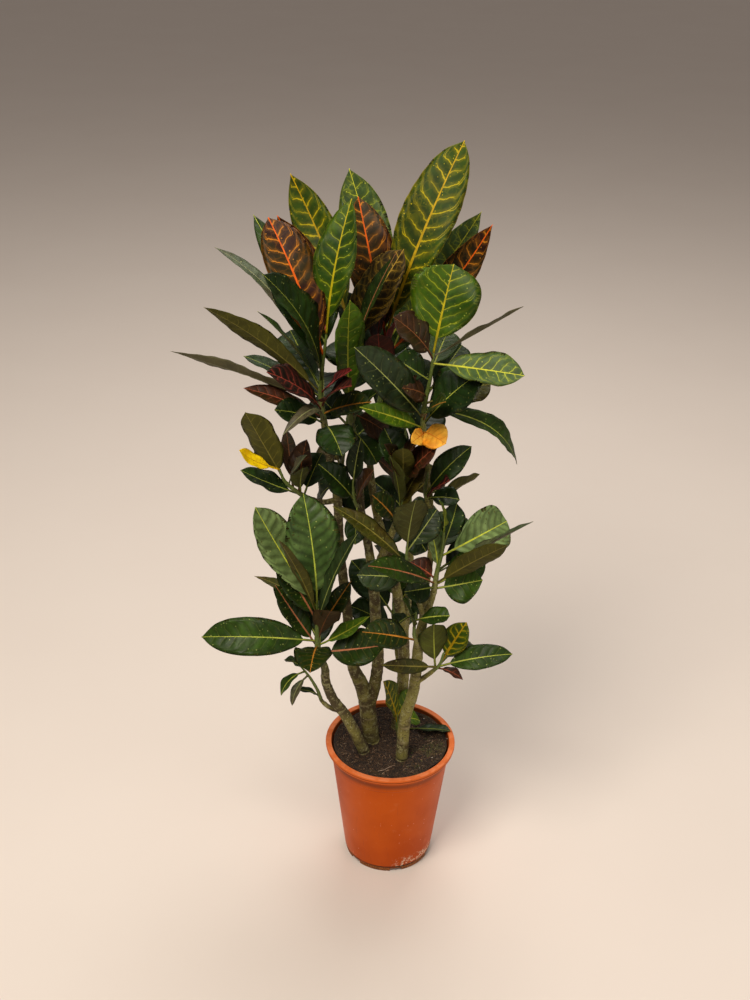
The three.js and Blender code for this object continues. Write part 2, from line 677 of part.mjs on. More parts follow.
// The pot, with its foot ring notched, its floor raised on a middle pad, and drainage holes in the floor.
function potSolid() {
  const brim = POT_HEIGHT - RIM_DEPTH;
  const floorTop = FLOOR_UNDERSIDE + FLOOR_THICK;
  const footInside = BASE_RADIUS - FOOT_WIDTH;
  const inner = (z) => wallRadius(z) - WALL;
  const profile = [
    [0, 0], [PAD_RADIUS, 0], [PAD_RADIUS + FOOT_TAPER, FLOOR_UNDERSIDE],
    [footInside - FOOT_TAPER, FLOOR_UNDERSIDE], [footInside, 0],
    [BASE_RADIUS, 0], [wallRadius(brim), brim],
    [RIM_RADIUS - RIM_BEVEL, brim], [RIM_RADIUS - 0.5 * RIM_BEVEL, brim + RIM_LIP],
    [RIM_RADIUS - RIM_GROOVE, brim + RIM_LIP + 0.5 * RIM_BEVEL], [RIM_RADIUS, brim + RIM_LIP + RIM_BEVEL],
    [RIM_RADIUS, POT_HEIGHT - RIM_ROUND], [RIM_RADIUS - RIM_ROUND, POT_HEIGHT],
    [SHOULDER_RADIUS - RIM_BEVEL, POT_HEIGHT], [inner(brim), brim - RIM_DEPTH],
    [inner(floorTop), floorTop], [0, floorTop],
  ];
  let pot = latheSolid(profile, POT_SIDES);
  for (let i = 0; i < FOOT_NOTCHES; i++) {
    const angle = NOTCH_START + (2 * Math.PI * i) / FOOT_NOTCHES;
    const hole = new THREE.CylinderGeometry(DRAIN_RADIUS, DRAIN_RADIUS, 4 * FLOOR_THICK, DRAIN_SIDES);
    hole.rotateX(Math.PI / 2);
    hole.translate(DRAIN_RING, 0, FLOOR_UNDERSIDE);
    hole.rotateZ(angle);
    pot = pot.subtract(solidFrom(hole));
    const notch = new THREE.BoxGeometry(3 * FOOT_WIDTH, NOTCH_WIDTH, 2 * NOTCH_HEIGHT);
    notch.translate(BASE_RADIUS, 0, 0);
    notch.rotateZ(angle);
    pot = pot.subtract(solidFrom(notch));
  }
  return pot;
}

// The soil's surface: shallow humps and dips, a hand's breadth or less from one to the next.
function soilHeight(x, y) {
  const humps = Math.sin(x / 9 + 0.4) * Math.cos(y / 11);
  const slope = 0.5 * Math.sin(x / 20 - y / 14);
  return SOIL_LEVEL + SOIL_SWELL * (humps + slope);
}

function soilSolid() {
  const floorTop = FLOOR_UNDERSIDE + FLOOR_THICK + CLEAR;
  const topRadius = wallRadius(SOIL_LEVEL - SOIL_EDGE_RISE) - WALL - SOIL_INSET;
  const bottomRadius = wallRadius(floorTop) - WALL - SOIL_INSET;
  const points = [new THREE.Vector3(0, 0, floorTop)];
  const faces = [];
  for (let j = 0; j < POT_SIDES; j++) {
    const angle = (2 * Math.PI * j) / POT_SIDES;
    points.push(new THREE.Vector3(bottomRadius * Math.cos(angle), bottomRadius * Math.sin(angle), floorTop));
  }
  for (let i = SOIL_RINGS; i >= 1; i--) {
    for (let j = 0; j < POT_SIDES; j++) {
      const angle = (2 * Math.PI * j) / POT_SIDES;
      const radius = (topRadius * i) / SOIL_RINGS;
      const x = radius * Math.cos(angle);
      const y = radius * Math.sin(angle);
      const rise = i === SOIL_RINGS ? SOIL_EDGE_RISE : 0;
      points.push(new THREE.Vector3(x, y, soilHeight(x, y) + rise));
    }
  }
  points.push(new THREE.Vector3(0, 0, soilHeight(0, 0)));
  const rings = SOIL_RINGS + 1;
  for (let j = 0; j < POT_SIDES; j++) {
    const next = (j + 1) % POT_SIDES;
    faces.push([0, 1 + next, 1 + j]);
    for (let i = 0; i < rings - 1; i++) {
      const a = 1 + i * POT_SIDES;
      const b = a + POT_SIDES;
      faces.push([a + j, a + next, b + next], [a + j, b + next, b + j]);
    }
    const top = 1 + (rings - 1) * POT_SIDES;
    faces.push([top + j, top + next, points.length - 1]);
  }
  return solidFrom(geometryFrom(points, faces));
}

// ---------------------------------------------------------------- the assembly

const LOOKS = {
  pot: { color: 0xc4602a, roughness: 0.45 },
  soil: { color: 0x2c1d18, roughness: 0.95 },
  wood: { color: 0x6d6242, roughness: 0.85 },
  leaf: { color: 0x2f4a12, roughness: 0.4 },
  yellow: { color: 0xf2cf1e, roughness: 0.5 },
  orange: { color: 0xe0a030, roughness: 0.5 },
};

const group = new THREE.Group();

function place(name, solid, look) {
  const material = new THREE.MeshStandardMaterial({ ...LOOKS[look], metalness: 0 });
  const mesh = new THREE.Mesh(geometryOf(solid), material);
  mesh.name = name;
  group.add(mesh);
}

// The fallen leaf is lifted in small steps, until it only rests on the soil and the rim.
function fallenLeaf(soil, pot) {
  const { from, to, width, roll, bow, point, seed } = FALLEN_LEAF;
  const overlap = (leaf) => leaf.intersect(soil).volume() + leaf.intersect(pot).volume();
  let lift = -SOIL_SWELL;
  let leaf;
  do {
    lift += SETTLE_STEP;
    const root = seenAtHeight(from, SOIL_LEVEL + lift);
    const tip = seenAtHeight(to, POT_HEIGHT + lift);
    leaf = leafSolid(root, tip, width, roll, bow, point, seed);
  } while (overlap(leaf) > 0);
  return leaf;
}

// A leaf that has turned colour: its blades end just short of the stem that still holds them.
function dyingLeaf({ blades }, grown, seed) {
  const { curve, radiusAt, split, stemSpans } = grown;
  const stem = tapered(curve, split, 1, (t) => radiusAt(t) + CLEAR, STEM_SIDES, stemSpans);
  const solids = blades.map((blade, index) => {
    const [root, tip] = leafEnds(grown, blade);
    const [, , , , width, roll, bow, point] = blade;
    return leafSolid(root, tip, width, roll, bow, point, seed + index);
  });
  return mainPiece(joined(solids).subtract(stem));
}

let soil = soilSolid();
for (const [trunkIndex, trunk] of TRUNKS.entries()) {
  const limbs = [];
  for (const [branchIndex, branch] of trunk.branches.entries()) {
    const seed = SEEDS_PER_TRUNK * trunkIndex + SEEDS_PER_BRANCH * branchIndex;
    const grown = growBranch(branch);
    const { curve, radiusAt, split, woodSpans, stemSpans } = grown;
    limbs.push(tapered(curve, 0, split, radiusAt, WOOD_SIDES, woodSpans));
    if (branchIndex === 0) {
      const start = seen(branch.wood[0]);
      const holeRadius = trunk.radius + CLEAR;
      limbs.push(foot(start, trunk.radius, FOOT_DEPTH));
      soil = soil.subtract(foot(start, holeRadius, FOOT_DEPTH + CLEAR));
      soil = soil.subtract(tapered(curve, 0, FOOT_FLARE_SHARE, () => holeRadius, WOOD_SIDES, 1));
    }
    const parts = [tapered(curve, split, 1, radiusAt, STEM_SIDES, stemSpans, CLEAR)];
    for (const [leafIndex, leaf] of branch.leaves.entries()) {
      const [root, tip] = leafEnds(grown, leaf);
      const [, , , , width, roll, bow, point] = leaf;
      parts.push(leafSolid(root, tip, width, roll, bow, point, seed + leafIndex));
    }
    place(`shoot_${branch.shoot}`, joined(parts), "leaf");
    if (branch.dying) {
      const leaf = dyingLeaf(branch.dying, grown, seed + branch.leaves.length);
      place(branch.dying.node, leaf, branch.dying.look);
    }
  }
  place(`trunk_${trunk.name}`, joined(limbs), "wood");
}
const pot = potSolid();
place("leaf_fallen", fallenLeaf(soil, pot), "leaf");
place("soil", soil, "soil");
place("pot", pot, "pot");

export default group;
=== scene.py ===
# A potted croton about 1.14 m tall: the looks of its pot, soil, trunks and leafy shoots.
# Metres, +Z up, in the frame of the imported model.

import math
import random

import bmesh
import bpy
import numpy as np
from mathutils import Matrix, Vector, noise


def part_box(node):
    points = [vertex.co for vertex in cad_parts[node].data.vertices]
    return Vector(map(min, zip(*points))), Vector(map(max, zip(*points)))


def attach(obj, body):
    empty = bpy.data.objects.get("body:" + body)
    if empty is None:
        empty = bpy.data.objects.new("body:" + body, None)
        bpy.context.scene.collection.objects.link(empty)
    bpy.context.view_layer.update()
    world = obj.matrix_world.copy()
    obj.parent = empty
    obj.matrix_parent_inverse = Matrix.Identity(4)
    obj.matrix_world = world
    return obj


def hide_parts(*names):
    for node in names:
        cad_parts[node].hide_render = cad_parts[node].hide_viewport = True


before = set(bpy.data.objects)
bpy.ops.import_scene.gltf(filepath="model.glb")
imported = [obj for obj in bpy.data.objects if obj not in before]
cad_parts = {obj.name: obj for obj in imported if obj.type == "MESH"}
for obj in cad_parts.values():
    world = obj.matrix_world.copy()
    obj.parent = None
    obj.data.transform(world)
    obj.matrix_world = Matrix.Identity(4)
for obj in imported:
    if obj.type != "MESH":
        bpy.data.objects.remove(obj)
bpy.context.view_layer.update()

# ---------------- driving dimensions

MM = 0.001

POT_HEIGHT = 216 * MM
RIM_RADIUS = 103 * MM
RIM_DEPTH = 8 * MM
RIM_LIP = 3 * MM
RIM_GROOVE = 1.8 * MM
RIM_BEVEL = 1 * MM
GROOVE_LINE = 211.5 * MM
SHOULDER_RADIUS = 95 * MM
BASE_RADIUS = 70 * MM
WALL = 2.6 * MM
STEP_HEIGHT = 185 * MM
STEP_SIZE = 0.8 * MM
FOOT_BAND = 9 * MM
FLOOR_UNDERSIDE = 5 * MM
FLOOR_THICK = 3 * MM
PAD_RADIUS = 30 * MM
FOOT_WIDTH = 7 * MM
FOOT_TAPER = 2 * MM
FOOT_NOTCHES = 6
NOTCH_START = math.radians(41)
NOTCH_WIDTH = 20 * MM
NOTCH_HEIGHT = 6 * MM
DRAIN_RADIUS = 5 * MM
DRAIN_RING = 49 * MM
POT_SIDES = 144

SOIL_LEVEL = 207 * MM
SOIL_SWELL = 2.5 * MM
SOIL_EDGE_RISE = 4 * MM
SOIL_INSET = 1.3 * MM
CLEAR = 0.3 * MM

STEM_LINE = -12 * MM
FOOT_DEPTH = 60 * MM
WOOD_SIDES = 20
STEM_SIDES = 12
RING_STEP = 3 * MM

BLADE_HALF = 0.3 * MM
PETIOLE_HALF_THICK = 1.5 * MM
NECK_HALF_THICK = 1.0 * MM
TIP_HALF_THICK = 0.35 * MM
PETIOLE_HALF = 1.8 * MM
PETIOLE_LENGTH = 16 * MM
PETIOLE_SHARE = 0.04
PETIOLE_LIMIT = 0.2
TWIG_TIP_RADIUS = 1.6 * MM
FOLD = math.radians(14)
RIPPLE = 0.13
RIPPLES_PER_LEAF = 1.7
ROOT_FULLNESS = 0.8
DRIP_TIP = 0.045
QUILT = 0.8 * MM
QUILT_FULL_WIDTH = 25 * MM
FRILL_STEP = 21 * MM
SECTION_STEP = 3.4 * MM
VEIN_STEP = 8 * MM
VEIN_STEP_SHARE = 0.048
VEIN_SLANT = 0.6
VEIN_ARCH = 0.9
SCAR_HALF = 1.5 * MM
SCAR_TURN = 2.4
KNOBS = 0.06
# Leaf scars on wood and on green stem: their spacing and height.
WOOD_SCARS = (13 * MM, 0.7 * MM)
STEM_SCARS = (7 * MM, 0.5 * MM)
# The bark's colour by age: 0 at a trunk's foot, FORK_AGE where a limb forks off, 1 at the green tip.
FORK_AGE = 0.25
SHOOT_AGE = 0.62
SEEDS_PER_TRUNK = 100
SEEDS_PER_BRANCH = 20

# The eye that the plant was measured from: its place, its tilt, and its focal length in pixels.
EYE = np.array((-31, -1700, 1577)) * MM
EYE_PITCH = math.radians(28.6)
EYE_ROLL = math.radians(1)
EYE_FOCAL = 1342
EYE_MIDDLE = (375, 500)
IMAGE_HEIGHT = 1000
SENSOR = 36

# ---------------- the plant, as measured

# A stem is a list of (px, py, depth): its middle line in the view, and its depth in mm behind the stem
# line, which runs up just in front of the pot's axis. Its wood ends where its green shoot begins. A leaf is
# (along, tip px, tip py, back, width, roll, bow, point, look): where it leaves the green stem (0 to 1),
# its tip in the view, how far behind its root the tip lies, its width, its roll about its own length in
# degrees, how far its middle arches above the straight line from root to tip, how pointed it is, and
# the look of its blade. Radii, widths and arches are in mm.

TRUNKS = [
  dict(name="front_left", radius=9, branches=[
    dict(wood=[(363.8, 750, -7), (346.5, 717, -14), (333.8, 700, -20), (326, 682, -24), (324.8, 668, -28)],
      radii=(9, 8.6, 7.6, 7, 6), shoot="low_left",
      stem=[(318, 650, -32), (317, 625, -36), (317, 600, -38)], leaves=[
        (0.95, 303, 493, 40, 80, -8, 16, 0.65, "glossy"), (0.9, 255, 507, 25, 60, -35, -6, 0.5, "silver"),
        (0.62, 358, 533, -35, 42, 45, 8, 0.8, "dusk"), (0.7, 276, 557, 30, 46, -30, 8, 0.8, "coral"),
        (0.38, 275, 585, 0, 40, -40, -2, 0.8, "coral"), (0.88, 254, 576, 105, 20, 0, 6, 0.8, "olive"),
        (0.46, 201, 637, -20, 58, -50, 28, 0.7, "green"), (0.45, 331, 611, -38, 40, -30, 8, 0.6, "umber"),
        (0.4, 370, 616, 10, 30, 10, -4, 1, "lime"), (0.3, 386, 645, -25, 58, 42, -4, 0.75, "coral"),
        (0.38, 310, 673, -90, 56, 0, 10, 0.7, "amber"), (0.56, 351, 581, 25, 30, 45, 4, 0.8, "amber"),
        (0.8, 312, 548, 110, 52, 10, 10, 0.7, "deep"), (0.5, 282, 575, 120, 56, -15, 10, 0.7, "deep"),
        (0.25, 316, 596, 130, 48, 15, 10, 0.7, "green"), (0.8, 278, 539, -50, 24, 20, 6, 0.9, "olive")]),
    dict(wood=[(341, 711, -16), (331, 708, -19), (322, 701, -22)],
      radii=(4, 3.6, 3), shoot="low_twig",
      stem=[(318, 691, -26), (311, 679, -30), (304, 670, -34)], leaves=[
        (0.95, 281, 696, -20, 20, 0, 10, 0.8, "green"), (0.8, 292, 706, -30, 14, 0, 10, 0.8, "grey"),
        (0.15, 297, 690, -10, 16, 0, 4, 0.8, "deep"), (0.98, 284, 660, 10, 34, 20, 4, 0.8, "green")]),
  ]),
  dict(name="centre", radius=13.5, branches=[
    dict(wood=[(371, 738, 24), (365, 694, 20), (352, 662, 22), (347, 610, 28), (340, 550, 34),
          (337, 495, 32), (329, 455, 22), (325, 428, 12)],
      radii=(13.5, 12.5, 8.5, 7.5, 7, 6.5, 5.5, 5), shoot="crown_left",
      stem=[(321, 400, 8), (322, 372, 4), (327, 330, 0)], leaves=[
        (0.97, 352, 198, 35, 56, 20, 14, 0.8, "fresh"), (0.8, 268, 217, 50, 66, -40, 26, 0.6, "ember"),
        (0.97, 277, 215, 95, 56, -40, -44, 0.7, "ember"), (0.9, 253, 214, 165, 38, -30, 0, 0.8, "green"),
        (0.66, 214, 247, 95, 26, -5, 28, 0.8, "grey"), (0.55, 262, 274, -62, 74, -50, 20, 0.65, "deep"),
        (0.72, 267, 269, 15, 44, -40, 12, 0.75, "deep"), (0.5, 257, 311, 20, 34, 20, 6, 0.8, "green"),
        (0.42, 203, 307, -25, 35, 62, 13, 0.8, "olive"), (0.3, 170, 351, -20, 34, 42, 3, 0.8, "grey"),
        (0.36, 243, 356, 45, 32, -10, 6, 0.8, "deep"), (0.2, 266, 372, -60, 46, -40, 10, 0.6, "maroon"),
        (0.12, 243, 388, -5, 28, -30, 7, 0.7, "rust"), (0.05, 274, 410, -30, 40, -40, 8, 0.6, "deep"),
        (0.08, 282, 436, -75, 18, -20, 32, 0.8, "grey"), (0.16, 372, 402, -40, 40, 40, 6, 0.8, "amber"),
        (0.42, 352, 370, -46, 28, 30, 2, 0.8, "red"), (0.04, 342, 456, -60, 56, 10, 12, 0.5, "deep"),
        (0.25, 352, 386, -75, 44, 30, 8, 0.7, "maroon"), (0.75, 312, 285, 120, 66, -10, 14, 0.7, "green"),
        (0.45, 290, 330, 125, 60, -25, 12, 0.7, "deep"), (0.2, 322, 372, 130, 60, 10, 12, 0.7, "deep")]),
    dict(wood=[(368, 710, 22), (374, 688, 20), (378, 660, 18), (376, 624, 16), (374, 590, 15),
          (369, 550, 16), (361, 510, 20), (359, 470, 26), (354, 440, 28)],
      radii=(9.5, 9.5, 9, 8.5, 8, 6.5, 6, 5.5, 5), shoot="crown_mid",
      stem=[(349, 405, 32), (345, 368, 30), (348, 318, 28)], leaves=[
        (0.97, 290, 173, 138, 62, -40, -38, 0.7, "gold"), (0.8, 404, 249, 14, 64, 40, 2, 0.65, "bronze"),
        (0.5, 397, 252, -22, 36, 35, 10, 0.8, "coral"), (0.28, 350, 300, -56, 46, -150, -6, 0.6, "lime"),
        (0.1, 378, 392, -50, 36, 50, 8, 0.7, "deep"), (0.1, 377, 464, -10, 40, 40, 8, 0.7, "deep"),
        (0.26, 387, 434, 10, 44, 50, 8, 0.7, "umber")]),
    dict(wood=[(373, 578, 15), (384, 550, 10), (394, 528, 4)],
      radii=(6, 5.5, 5), shoot="mid_centre", stem=[(401, 508, 0), (404, 485, -4), (407, 462, -6)], leaves=[
        (0.3, 390, 455, -45, 32, -30, 4, 0.8, "deep"), (0.5, 403, 448, -60, 32, 0, 6, 0.7, "olive"),
        (0.1, 372, 495, -20, 40, -60, 4, 0.7, "amber"), (0.85, 419, 440, -14, 48, 40, 6, 0.7, "umber"),
        (0.7, 438, 446, -30, 46, 50, 6, 0.7, "rust"), (0.75, 384, 428, 25, 44, -30, 8, 0.7, "deep"),
        (0.62, 384, 444, -22, 36, -50, 4, 0.7, "umber"), (0.22, 426, 462, -12, 40, 50, 6, 0.6, "olive")]),
    dict(wood=[(337, 500, 32), (322, 502, 24), (306, 497, 14)],
      radii=(4.5, 4, 3.6), shoot="mid_left", stem=[(292, 488, 8), (284, 480, 4), (279, 468, 0)], leaves=[
        (0.62, 245, 412, -5, 52, 65, 0, 0.65, "olive"), (0.1, 240, 470, -12, 38, -20, -3, 0.8, "deep"),
        (0.3, 286, 429, 70, 22, 0, 4, 0.8, "umber"), (0.16, 307, 439, 18, 38, 0, 4, 0.8, "umber"),
        (0.45, 307, 455, -15, 24, 30, 4, 0.8, "grey"), (0.12, 303, 468, -50, 28, 20, 4, 0.8, "deep"),
        (0.75, 266, 446, 120, 48, -10, 8, 0.7, "deep"), (0.05, 322, 453, 40, 54, 0, 2, 0.6, "deep")],
      dying=dict(node="leaf_yellow", look="yellow", blades=[(0.97, 239, 450, -45, 22, -50, -8, 0.7)])),
    dict(wood=[(361, 512, 20), (358, 507, 12)],
      radii=(4, 3.6), shoot="mid_inner", stem=[(354, 498, 4), (353, 480, 0)], leaves=[
        (0.3, 318, 464, -30, 44, -60, 6, 0.8, "deep"), (0.8, 361, 438, 0, 28, 60, 4, 0.8, "dusk"),
        (0.1, 374, 470, -30, 34, 65, 6, 0.7, "umber"), (0.09, 355, 545, -38, 32, 0, 4, 0.7, "deep")]),
    dict(wood=[(341, 560, 33), (338, 525, 60), (340, 485, 80)],
      radii=(5, 4.5, 4), shoot="rear_left", stem=[(344, 445, 90), (350, 405, 95), (354, 368, 95)], leaves=[
        (0.9, 340, 340, 60, 60, -20, 12, 0.7, "green"), (0.97, 340, 290, 10, 62, -10, 8, 0.6, "deep"),
        (0.7, 362, 345, 70, 52, 20, 12, 0.7, "deep"), (0.5, 318, 395, 50, 56, -40, 10, 0.7, "deep"),
        (0.3, 376, 420, 60, 56, 35, 10, 0.7, "deep"), (0.15, 330, 440, 45, 50, -30, 8, 0.7, "olive"),
        (0.05, 358, 425, -10, 44, 20, 8, 0.7, "deep"), (0.1, 362, 512, -20, 66, 20, 8, 0.6, "deep"),
        (0.03, 318, 505, 10, 50, -20, 8, 0.7, "deep")]),
  ]),
  dict(name="rear", radius=10, branches=[
    dict(wood=[(397, 725, 59), (402, 690, 56), (404, 650, 56), (400, 610, 56), (390, 560, 56),
          (376, 510, 58), (370, 460, 60)],
      radii=(10, 9.5, 9, 8, 7, 6, 5), shoot="crown_centre",
      stem=[(376, 420, 60), (384, 375, 60), (388, 325, 58)], leaves=[
        (0.97, 465, 140, 70, 76, 35, 20, 0.6, "gold"), (0.97, 349, 168, 120, 72, -35, -26, 0.65, "pale"),
        (0.88, 358, 196, 60, 68, -30, 12, 0.7, "ember"), (0.9, 482, 211, 95, 50, 30, -12, 0.8, "pale"),
        (0.8, 493, 224, 30, 52, 45, -24, 0.75, "ember"), (0.6, 402, 251, -10, 44, 45, 18, 0.8, "maroon"),
        (0.5, 378, 334, -55, 42, 0, 10, 0.6, "maroon"), (0.66, 400, 312, -40, 26, 40, 4, 0.8, "red"),
        (0.7, 420, 285, 120, 64, 20, 14, 0.7, "green"), (0.6, 384, 292, 125, 60, -20, 14, 0.7, "deep"),
        (0.3, 408, 345, 120, 56, 5, 12, 0.7, "deep"), (0.15, 430, 380, 35, 52, 30, 10, 0.7, "green")]),
    dict(wood=[(404, 640, 56), (409, 590, 72), (411, 545, 88)],
      radii=(6, 5, 4.4), shoot="rear_right",
      stem=[(410, 505, 98), (407, 465, 104), (405, 425, 104)], leaves=[
        (0.95, 390, 362, 80, 60, -10, 12, 0.7, "green"), (0.8, 436, 410, 60, 58, 25, 12, 0.7, "deep"),
        (0.6, 380, 420, 50, 56, -35, 10, 0.7, "deep"), (0.4, 440, 470, 40, 52, 40, 8, 0.7, "olive"),
        (0.25, 372, 480, 45, 52, -40, 8, 0.7, "deep"), (0.05, 428, 500, 70, 48, 30, 8, 0.7, "deep"),
        (0.1, 380, 535, 0, 54, -30, 8, 0.7, "deep"), (0.08, 426, 552, -20, 56, 20, 8, 0.7, "deep"),
        (0.36, 376, 458, -28, 50, -40, 8, 0.7, "umber")]),
    dict(wood=[(402, 690, 56), (399, 664, 76), (396, 645, 88)],
      radii=(5, 4.2, 3.6), shoot="rear_low", stem=[(394, 625, 96), (393, 600, 100)], leaves=[
        (0.9, 398, 550, 50, 54, 0, 10, 0.7, "green"), (0.7, 351, 560, 30, 58, -35, 8, 0.6, "deep"),
        (0.5, 426, 585, 40, 48, 35, 8, 0.7, "deep"), (0.2, 408, 610, 90, 44, 10, 8, 0.7, "green"),
        (0.4, 350, 606, -10, 56, -40, 8, 0.6, "deep"), (0.6, 424, 560, 24, 46, 30, 8, 0.7, "deep"),
        (0.95, 374, 545, -24, 46, -30, 8, 0.7, "deep")]),
  ]),
  dict(name="front_right", radius=9.5, branches=[
    dict(wood=[(401.7, 757, -22), (405, 719, -24), (414, 688, -28), (418, 649, -32), (422, 626, -34),
          (430, 604, -36), (434, 590, -37)],
      radii=(9.5, 9, 8.6, 8, 7, 5, 4.5), shoot="right_mid",
      stem=[(437, 572, -38), (442, 552, -40), (444, 530, -42)], leaves=[
        (0.6, 507, 521, 60, 68, 50, 14, 0.45, "silver"), (0.32, 534, 521, -22, 36, -12, 0, 1, "grey"),
        (0.12, 508, 545, -84, 34, -60, 4, 0.8, "olive"), (0.1, 485, 559, 34, 48, 45, 6, 0.7, "green"),
        (0.03, 483, 580, -16, 60, 50, -2, 0.8, "green"), (0.12, 368, 566, -85, 40, -40, 8, 0.7, "coral"),
        (0.2, 410, 562, 10, 34, -30, 4, 0.8, "rust"), (0.97, 439, 500, -5, 24, -20, 4, 0.8, "lime"),
        (0.75, 457, 503, 45, 36, 40, 4, 0.8, "deep"), (0.36, 430, 528, 4, 26, -30, 4, 0.8, "silver"),
        (0.06, 404, 592, -45, 40, -60, 4, 0.6, "deep"), (0.6, 452, 515, 115, 56, 15, 10, 0.7, "green"),
        (0.35, 478, 545, 105, 50, 35, 10, 0.7, "deep")]),
    dict(wood=[(421, 636, -34), (424, 600, -14), (431, 550, 6), (430, 500, 14), (424, 440, 8)],
      radii=(5, 5, 4.8, 4.6, 4.4), shoot="crown_right",
      stem=[(424, 410, 2), (430, 380, -4), (434, 350, -8)], leaves=[
        (0.97, 454, 264, 30, 98, 25, 6, 0.52, "fresh"), (0.93, 524, 306, 20, 28, -34, -1, 0.8, "grey"),
        (0.85, 525, 376, -35, 52, 35, 2, 0.6, "pale"), (0.9, 393, 317, -15, 54, -45, 8, 0.7, "umber"),
        (0.14, 487, 368, -25, 70, 50, 10, 0.6, "deep"), (0.4, 491, 384, 40, 50, 40, 8, 0.7, "olive"),
        (0.34, 517, 465, 45, 40, 30, 34, 0.8, "green"), (0.22, 354, 347, -45, 58, -75, 10, 0.65, "dusk"),
        (0.1, 359, 407, -70, 28, -60, 6, 0.8, "lime"), (0.2, 446, 402, -75, 36, 40, 6, 0.7, "amber"),
        (0.66, 395, 358, 16, 48, -60, 6, 0.7, "deep"), (0.48, 402, 388, -22, 38, -50, 6, 0.7, "umber"),
        (0.75, 448, 332, 98, 52, 10, 6, 0.7, "green"), (0.5, 462, 345, 115, 50, 30, 12, 0.7, "deep"),
        (0.35, 412, 362, 110, 56, -20, 12, 0.7, "deep")],
      dying=dict(node="leaf_orange", look="orange", blades=[
        (0.06, 446, 444, -48, 40, 40, 8, 0.5), (0.06, 411, 443, -46, 24, -50, 6, 0.6)])),
    dict(wood=[(430, 512, 12), (427, 500, 4)],
      radii=(3.8, 3.4), shoot="mid_right", stem=[(425, 490, 0), (428, 472, -4)], leaves=[
        (0.24, 472, 446, 4, 38, 50, 16, 0.7, "deep"), (0.06, 480, 474, 34, 34, -60, -4, 0.7, "olive"),
        (0.1, 450, 481, -35, 32, 30, 4, 0.7, "maroon"), (0.05, 460, 500, -10, 34, 30, 6, 0.7, "deep")]),
    dict(wood=[(424, 616, -35), (418, 600, -44), (412, 580, -50)],
      radii=(4, 3.8, 3.4), shoot="front_mid", stem=[(407, 562, -54), (407, 545, -58)], leaves=[
        (0.75, 416, 500, -35, 50, 0, 6, 0.7, "dusk"), (0.8, 437, 509, 25, 44, 50, 6, 0.7, "dusk"),
        (0.4, 332, 506, 10, 30, -30, 12, 0.8, "olive"), (0.06, 357, 575, -14, 46, -55, 6, 0.6, "dusk")]),
    dict(wood=[(418, 647, -36), (416, 641, -44)],
      radii=(4, 3.4), shoot="fork_leaves", stem=[(414, 632, -52), (416, 612, -58)], leaves=[
        (0.05, 362, 632, -50, 46, -50, 6, 0.7, "amber"), (0.5, 402, 599, -22, 34, -40, 4, 0.8, "green"),
        (0.8, 450, 616, -20, 30, 30, 4, 0.4, "green"), (0.95, 388, 640, 34, 44, -30, 8, 0.6, "deep")]),
    dict(wood=[(417, 682, -29), (426, 676, -34), (434, 670, -38)],
      radii=(4, 3.6, 3), shoot="low_right", stem=[(440, 664, -40), (444, 652, -42)], leaves=[
        (0.6, 467, 622, 15, 40, 40, 2, 0.8, "gold"), (0.3, 513, 654, -5, 38, 40, 12, 0.75, "green"),
        (0.2, 463, 680, -10, 20, 0, 4, 0.8, "rust"), (0.1, 434, 624, -20, 44, 30, 4, 0.7, "green"),
        (0.3, 381, 665, -32, 22, -60, 6, 0.8, "olive"), (0.5, 468, 640, 85, 44, 20, 8, 0.7, "deep")]),
  ]),
  dict(name="sucker", radius=4, branches=[
    dict(wood=[(399, 738, 22), (398, 731, 20)],
      radii=(4, 3.6), shoot="sucker", stem=[(397, 724, 18), (397, 714, 16)], leaves=[
        (0.5, 383, 681, -14, 44, -50, 4, 0.7, "gold"), (0.9, 411, 689, 30, 30, 45, 4, 0.7, "fresh"),
        (0.55, 420, 721, 8, 26, 20, 10, 0.7, "lime")]),
  ]),
]

FALLEN_LEAF = {"from": (410, 729), "to": (451, 731),
               "width": 26, "roll": -10, "bow": 2, "point": 0.7, "seed": 7}

# ---------------- the looks of the leaves

